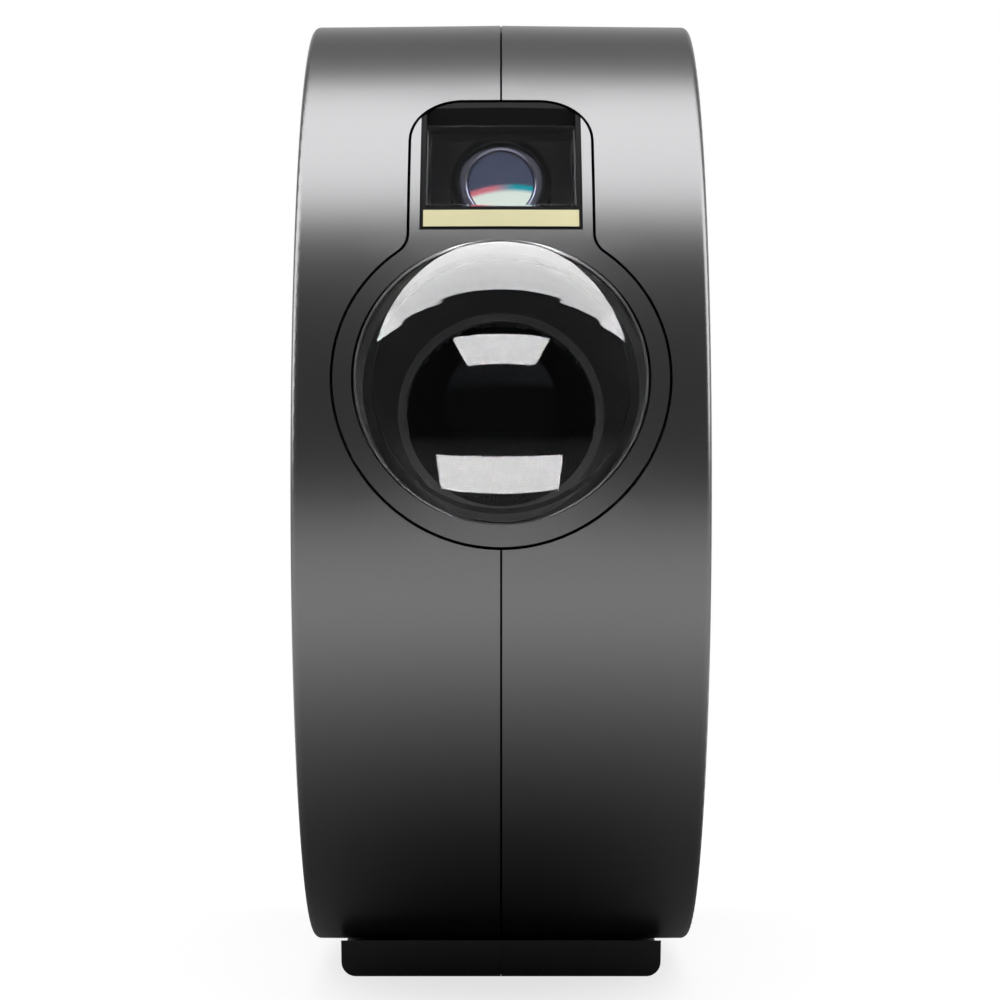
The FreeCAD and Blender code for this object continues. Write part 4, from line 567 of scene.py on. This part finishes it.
class StageOperator(bpy.types.Operator):
    """Floor, backdrop, softboxes, world and camera"""
    bl_idname = "projector.stage"
    bl_label = "Studio"

    def panel_light(self, name, at, size, radiance, aim=None):
        """A softbox whose brightness is given as seen by a mirror: power = pi x area x radiance."""
        lamp = bpy.data.lights.new(name, "AREA")
        lamp.shape = "RECTANGLE"
        lamp.size, lamp.size_y = size
        lamp.energy = math.pi * size[0] * size[1] * radiance
        thing = bpy.data.objects.new(name, lamp)
        thing.location = at
        if aim is not None:
            thing.rotation_euler = (Vector(aim) - Vector(at)).to_track_quat("-Z", "Y").to_euler()
        bpy.context.scene.collection.objects.link(thing)
        return thing

    def dome_light(self, name, at, size, radiance, aim=None):
        """A panel that only the dome's gloss mirrors: it lights nothing behind the dome."""
        thing = self.panel_light(name, at, size, radiance, aim)
        thing.light_linking.receiver_collection = bpy.data.collections["mirrored_by_dome"]
        thing.visible_camera = thing.visible_diffuse = thing.visible_transmission = False
        return thing

    def sheet(self, name, corners, material):
        mesh = bpy.data.meshes.new(name)
        mesh.from_pydata([tuple(c) for c in corners], [], [tuple(range(len(corners)))])
        mesh.materials.append(material)
        thing = bpy.data.objects.new(name, mesh)
        bpy.context.scene.collection.objects.link(thing)
        return thing

    def floor_finish(self):
        """Pale floor; the camera sees it brighten to white away from the part, with the shadow kept; all
        other rays see a painted shadow darken it near the part.
        """
        tone = colours()
        shade = new_shade("studio_floor")
        camera = shade.add("ShaderNodeLightPath", out="Is Camera Ray")
        at = shade.add("ShaderNodeTexCoord", out="Object")
        reach = shade.add("ShaderNodeVectorMath", {"operation": "LENGTH"}, {0: at}, out="Value")
        far = reach.ramp(0.14, 0.34)
        # Painted shadow: rays other than the camera's see the floor coloured darker within 0.2 m of the part.
        floor_with_painted_shadow = shade.blend(reach.ramp(0.05, 0.2), tone.floor_painted_shadow, tone.floor)
        plain = shade.add("ShaderNodeBsdfDiffuse", None,
                          {"Color": shade.blend(camera, floor_with_painted_shadow, (0.95, 0.95, 0.95))})
        white = shade.add("ShaderNodeEmission", None, {"Color": (1, 1, 1, 1), "Strength": 1.0})
        lift = camera * far.maximum(0.72)
        return shade.surface(shade.add("ShaderNodeMixShader", None, {0: lift, 1: plain, 2: white}))

    def backdrop_finish(self):
        """White for the camera and for what metal and glass show, plain grey for everything else."""
        shade = new_shade("studio_backdrop")
        seen = shade.add("ShaderNodeLightPath", out="Is Camera Ray")
        gloss = shade.add("ShaderNodeLightPath", out="Is Glossy Ray")
        through = shade.add("ShaderNodeLightPath", out="Is Transmission Ray")
        at = shade.add("ShaderNodeTexCoord", out="Object")
        split = shade.add("ShaderNodeSeparateXYZ", None, {"Vector": at}).socket.node
        high = Value(shade, split.outputs[2]).ramp(0.4, 1.3)
        fall = shade.blend(seen, shade.blend(high, (0.8, 0.8, 0.8), (0.22, 0.22, 0.22)), (1.0, 1.0, 1.0))
        plain = shade.add("ShaderNodeBsdfDiffuse", None, {"Color": (0.5, 0.5, 0.5, 1.0)})
        white = shade.add("ShaderNodeEmission", None, {"Color": fall, "Strength": 1.0})
        return shade.surface(shade.add("ShaderNodeMixShader", None,
                                       {0: seen.maximum(gloss).maximum(through), 1: plain, 2: white}))

    def execute(self, context):
        size = sizes()
        scene = context.scene
        left, right = -ROOM_HALF, ROOM_HALF
        ground = self.sheet("floor", [(left, -ROOM_HALF, 0), (right, -ROOM_HALF, 0),
                                      (right, WALL_BACK, 0), (left, WALL_BACK, 0)], self.floor_finish())
        self.sheet("backdrop", [(left, WALL_BACK, 0), (right, WALL_BACK, 0), (right, WALL_BACK, WALL_TOP),
                                (left, WALL_BACK, WALL_TOP)], self.backdrop_finish())
        dome = NODES["dome_lens"]
        light_group("mirrored_by_dome", [dome])
        not_dome = light_group("all_but_dome", [dome], "EXCLUDE")
        for name, at, wide, aim in SOFTBOXES:
            box = self.panel_light(name, at, wide, SOFTBOX_RADIANCE, aim)
            box.light_linking.receiver_collection = not_dome
        for name, left, right, front, radiance in DOME_PANELS:
            at = ((left + right) / 2, (front + PANEL_BACK) / 2, PANEL_HEIGHT)
            self.dome_light("dome_panel_" + name, at, (right - left, PANEL_BACK - front), radiance)
        self.dome_light("dome_panel_front", (0.0, -1.0, PANEL_HEIGHT), (0.7, 0.48), 60.0)
        self.dome_light("dome_panel_low", (-0.002, -0.2, 0.036), (0.15, 0.046), 62.0, (-0.002, -0.07, 0.036))
        film = self.panel_light("laser_panel", (0.0, -0.5, 0.6), (0.3, 0.3), 17.0, (0.0, -0.06, 0.13))
        film.light_linking.receiver_collection = light_group("lit_laser_lens", [NODES["laser_lens"]])
        film.visible_camera = film.visible_glossy = film.visible_transmission = False
        film.light_linking.blocker_collection = light_group("shaded_by_floor", [ground])
        world = bpy.data.worlds.new("studio")
        scene.world = world
        shade = Shade(world)
        camera = shade.add("ShaderNodeLightPath", out="Is Camera Ray")
        room = shade.add("ShaderNodeBackground", None, {"Color": (0.12, 0.12, 0.12, 1.0), "Strength": 1.0})
        white = shade.add("ShaderNodeBackground", None, {"Color": (1, 1, 1, 1), "Strength": 1.0})
        shade.surface(shade.add("ShaderNodeMixShader", None, {0: camera, 1: room, 2: white}))
        eye = bpy.data.cameras.new("camera")
        eye.sensor_width = SENSOR_WIDTH
        eye.lens = size.focal_pixels * SENSOR_WIDTH / PICTURE_WIDTH
        eye.clip_start = 0.05
        stand = bpy.data.objects.new("camera", eye)
        stand.location = (CAMERA_ACROSS, -size.camera_distance, size.drum_height)
        stand.rotation_euler = (math.pi / 2 - size.camera_drop, 0.0, 0.0)
        scene.collection.objects.link(stand)
        scene.camera = stand
        scene.view_settings.view_transform = "Standard"
        return {"FINISHED"}


class DrumOperator(bpy.types.Operator):
    """Painted drum halves, keyhole panel and the turned rim of its lens hole"""
    bl_idname = "projector.drum"
    bl_label = "Drum"

    def execute(self, context):
        dress(metallic_paint("shell_paint", colours().paint, SEAM_HALF), "shell_left", "shell_right")
        paint = metallic_paint("drum_paint", colours().paint)
        dress(paint, "front_bezel")
        mesh = sheet_mesh("lens_hole_rim", rim_grid(), wrap_rows=True, wrap_columns=True)
        piece("lens_hole_rim", mesh, paint, "drum")
        return {"FINISHED"}


class CoverOperator(bpy.types.Operator):
    """Side covers, the control strip on the back with keys and inlet, and the boards"""
    bl_idname = "projector.covers"
    bl_label = "Covers and panel"

    def execute(self, context):
        tone = colours()
        matt = moulded("cover_black", tone.panel, 0.42, 0.58, 0.00003, 2200.0)
        dress(matt, "side_cover_left", "side_cover_right", "rear_panel")
        dress(moulded("key_grey", tone.key, 0.38, 0.5), "button_1", "button_2", "button_3")
        satin = moulded("inlet_black", tone.black, 0.3, 0.42)
        dress(satin, "power_jack", "push_switches")
        dress(board_finish("board_green", tone.board), "control_board", "led_board")
        return {"FINISHED"}


class StandOperator(bpy.types.Operator):
    """Foot, guide, felt strips, sole and the dome's seal"""
    bl_idname = "projector.stand"
    bl_label = "Stand"

    def execute(self, context):
        tone = colours()
        dress(moulded("stand_black", tone.black, 0.34, 0.46), "stand_left", "stand_right", "guide_shoe")
        dress(felted("felt", tone.felt), "saddle_pads")
        dress(moulded("rubber", tone.rubber, 0.7, 0.85, 0.00004, 1500.0), "foot_sole", "dome_seal")
        return {"FINISHED"}


class LensOperator(bpy.types.Operator):
    """Clear dome, barrel, inner lens and the clear parts behind it"""
    bl_idname = "projector.lens"
    bl_label = "Dome and lens"

    def execute(self, context):
        glass = dome_finish("clear_dome")
        dress(glass, "dome_lens")
        dome = piece("clear_cover", dome_mesh("clear_cover"), glass, "drum")
        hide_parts("dome_lens")
        light_group("mirrored_by_dome", [dome])
        light_group("all_but_dome", [dome], "EXCLUDE")
        dress(lens_finish("lens_glass_with_painted_shade"), "inner_lens")
        dress(clear("clear_optic", (0.97, 0.98, 1.0), 1.52), "collimator_lens", "nebula_disc", "grating_disc")
        barrel = moulded("barrel_black", colours().black, 0.3, 0.4, 0.00001)
        dress(barrel, "lens_barrel", "lens_retainer", "optics_frame")
        return {"FINISHED"}


class WindowOperator(bpy.types.Operator):
    """Laser window with its frame, pane, bare label strip and laser tube"""
    bl_idname = "projector.window"
    bl_label = "Laser window"

    def execute(self, context):
        tone = colours()
        dress(matt_black("window_black", lighter(tone.black, -0.4), 0.5), "window_frame", "laser_tube")
        dress(pane_finish("window_clear"), "window_pane")
        dress(laser_finish("laser_film_painted_reflection"), "laser_lens")
        mesh = sheet_mesh("laser_ring", ring_grid(), wrap_rows=True, wrap_columns=True)
        piece("laser_ring", mesh, brushed("ring_metal", tone.ring, 0.22), "drum")
        dress(moulded("label_film", tone.label, 0.42, 0.5, 0.00001, 900.0), "label_strip")
        return {"FINISHED"}


class MechanismOperator(bpy.types.Operator):
    """Gears, motor, lamp, laser module, heat sinks, pins and screws"""
    bl_idname = "projector.mechanism"
    bl_label = "Mechanism"

    def execute(self, context):
        tone = colours()
        dress(moulded("gear_white", tone.gears, 0.35, 0.45, 0.00001, 1200.0),
              "wheel_gear", "wheel_hub", "idler_gear", "grating_gear", "motor_pinion")
        dress(brushed("steel", tone.steel, 0.3), "shell_screws", "stand_screws", "frame_screws",
              "motor_screws", "heat_sink_screws", "board_screws", "wheel_axle", "idler_axle",
              "motor_shaft", "drive_motor")
        dress(brushed("aluminium", tone.aluminium, 0.36), "led_heat_sink", "laser_heat_sink")
        dress(brushed("brass", tone.brass, 0.3), "laser_module")
        dress(moulded("chip_yellow", tone.chips, 0.2, 0.3), "led_chips")
        return {"FINISHED"}


class ProjectorPanel(bpy.types.Panel):
    bl_idname = "VIEW3D_PT_projector"
    bl_label = "Planetarium projector"
    bl_space_type = "VIEW_3D"
    bl_region_type = "UI"
    bl_category = "Projector"

    def draw(self, context):
        for operator in OPERATORS:
            self.layout.operator(operator.bl_idname)
        for group in (context.scene.projector_sizes, context.scene.projector_colours):
            for name in group.bl_rna.properties.keys():
                if name not in ("rna_type", "name"):
                    self.layout.prop(group, name)


OPERATORS = (StageOperator, DrumOperator, CoverOperator, StandOperator, LensOperator,
             WindowOperator, MechanismOperator)
CLASSES = (ProjectorSizes, ProjectorColours, *OPERATORS, ProjectorPanel)


def register():
    for item in CLASSES:
        bpy.utils.register_class(item)
    bpy.types.Scene.projector_sizes = bpy.props.PointerProperty(type=ProjectorSizes)
    bpy.types.Scene.projector_colours = bpy.props.PointerProperty(type=ProjectorColours)


def unregister():
    del bpy.types.Scene.projector_colours
    del bpy.types.Scene.projector_sizes
    for item in reversed(CLASSES):
        bpy.utils.unregister_class(item)


def main():
    register()
    bpy.ops.projector.stage()
    bpy.ops.projector.drum()
    bpy.ops.projector.covers()
    bpy.ops.projector.stand()
    bpy.ops.projector.lens()
    bpy.ops.projector.window()
    bpy.ops.projector.mechanism()
    bpy.context.view_layer.update()


if __name__ == "__main__":
    main()
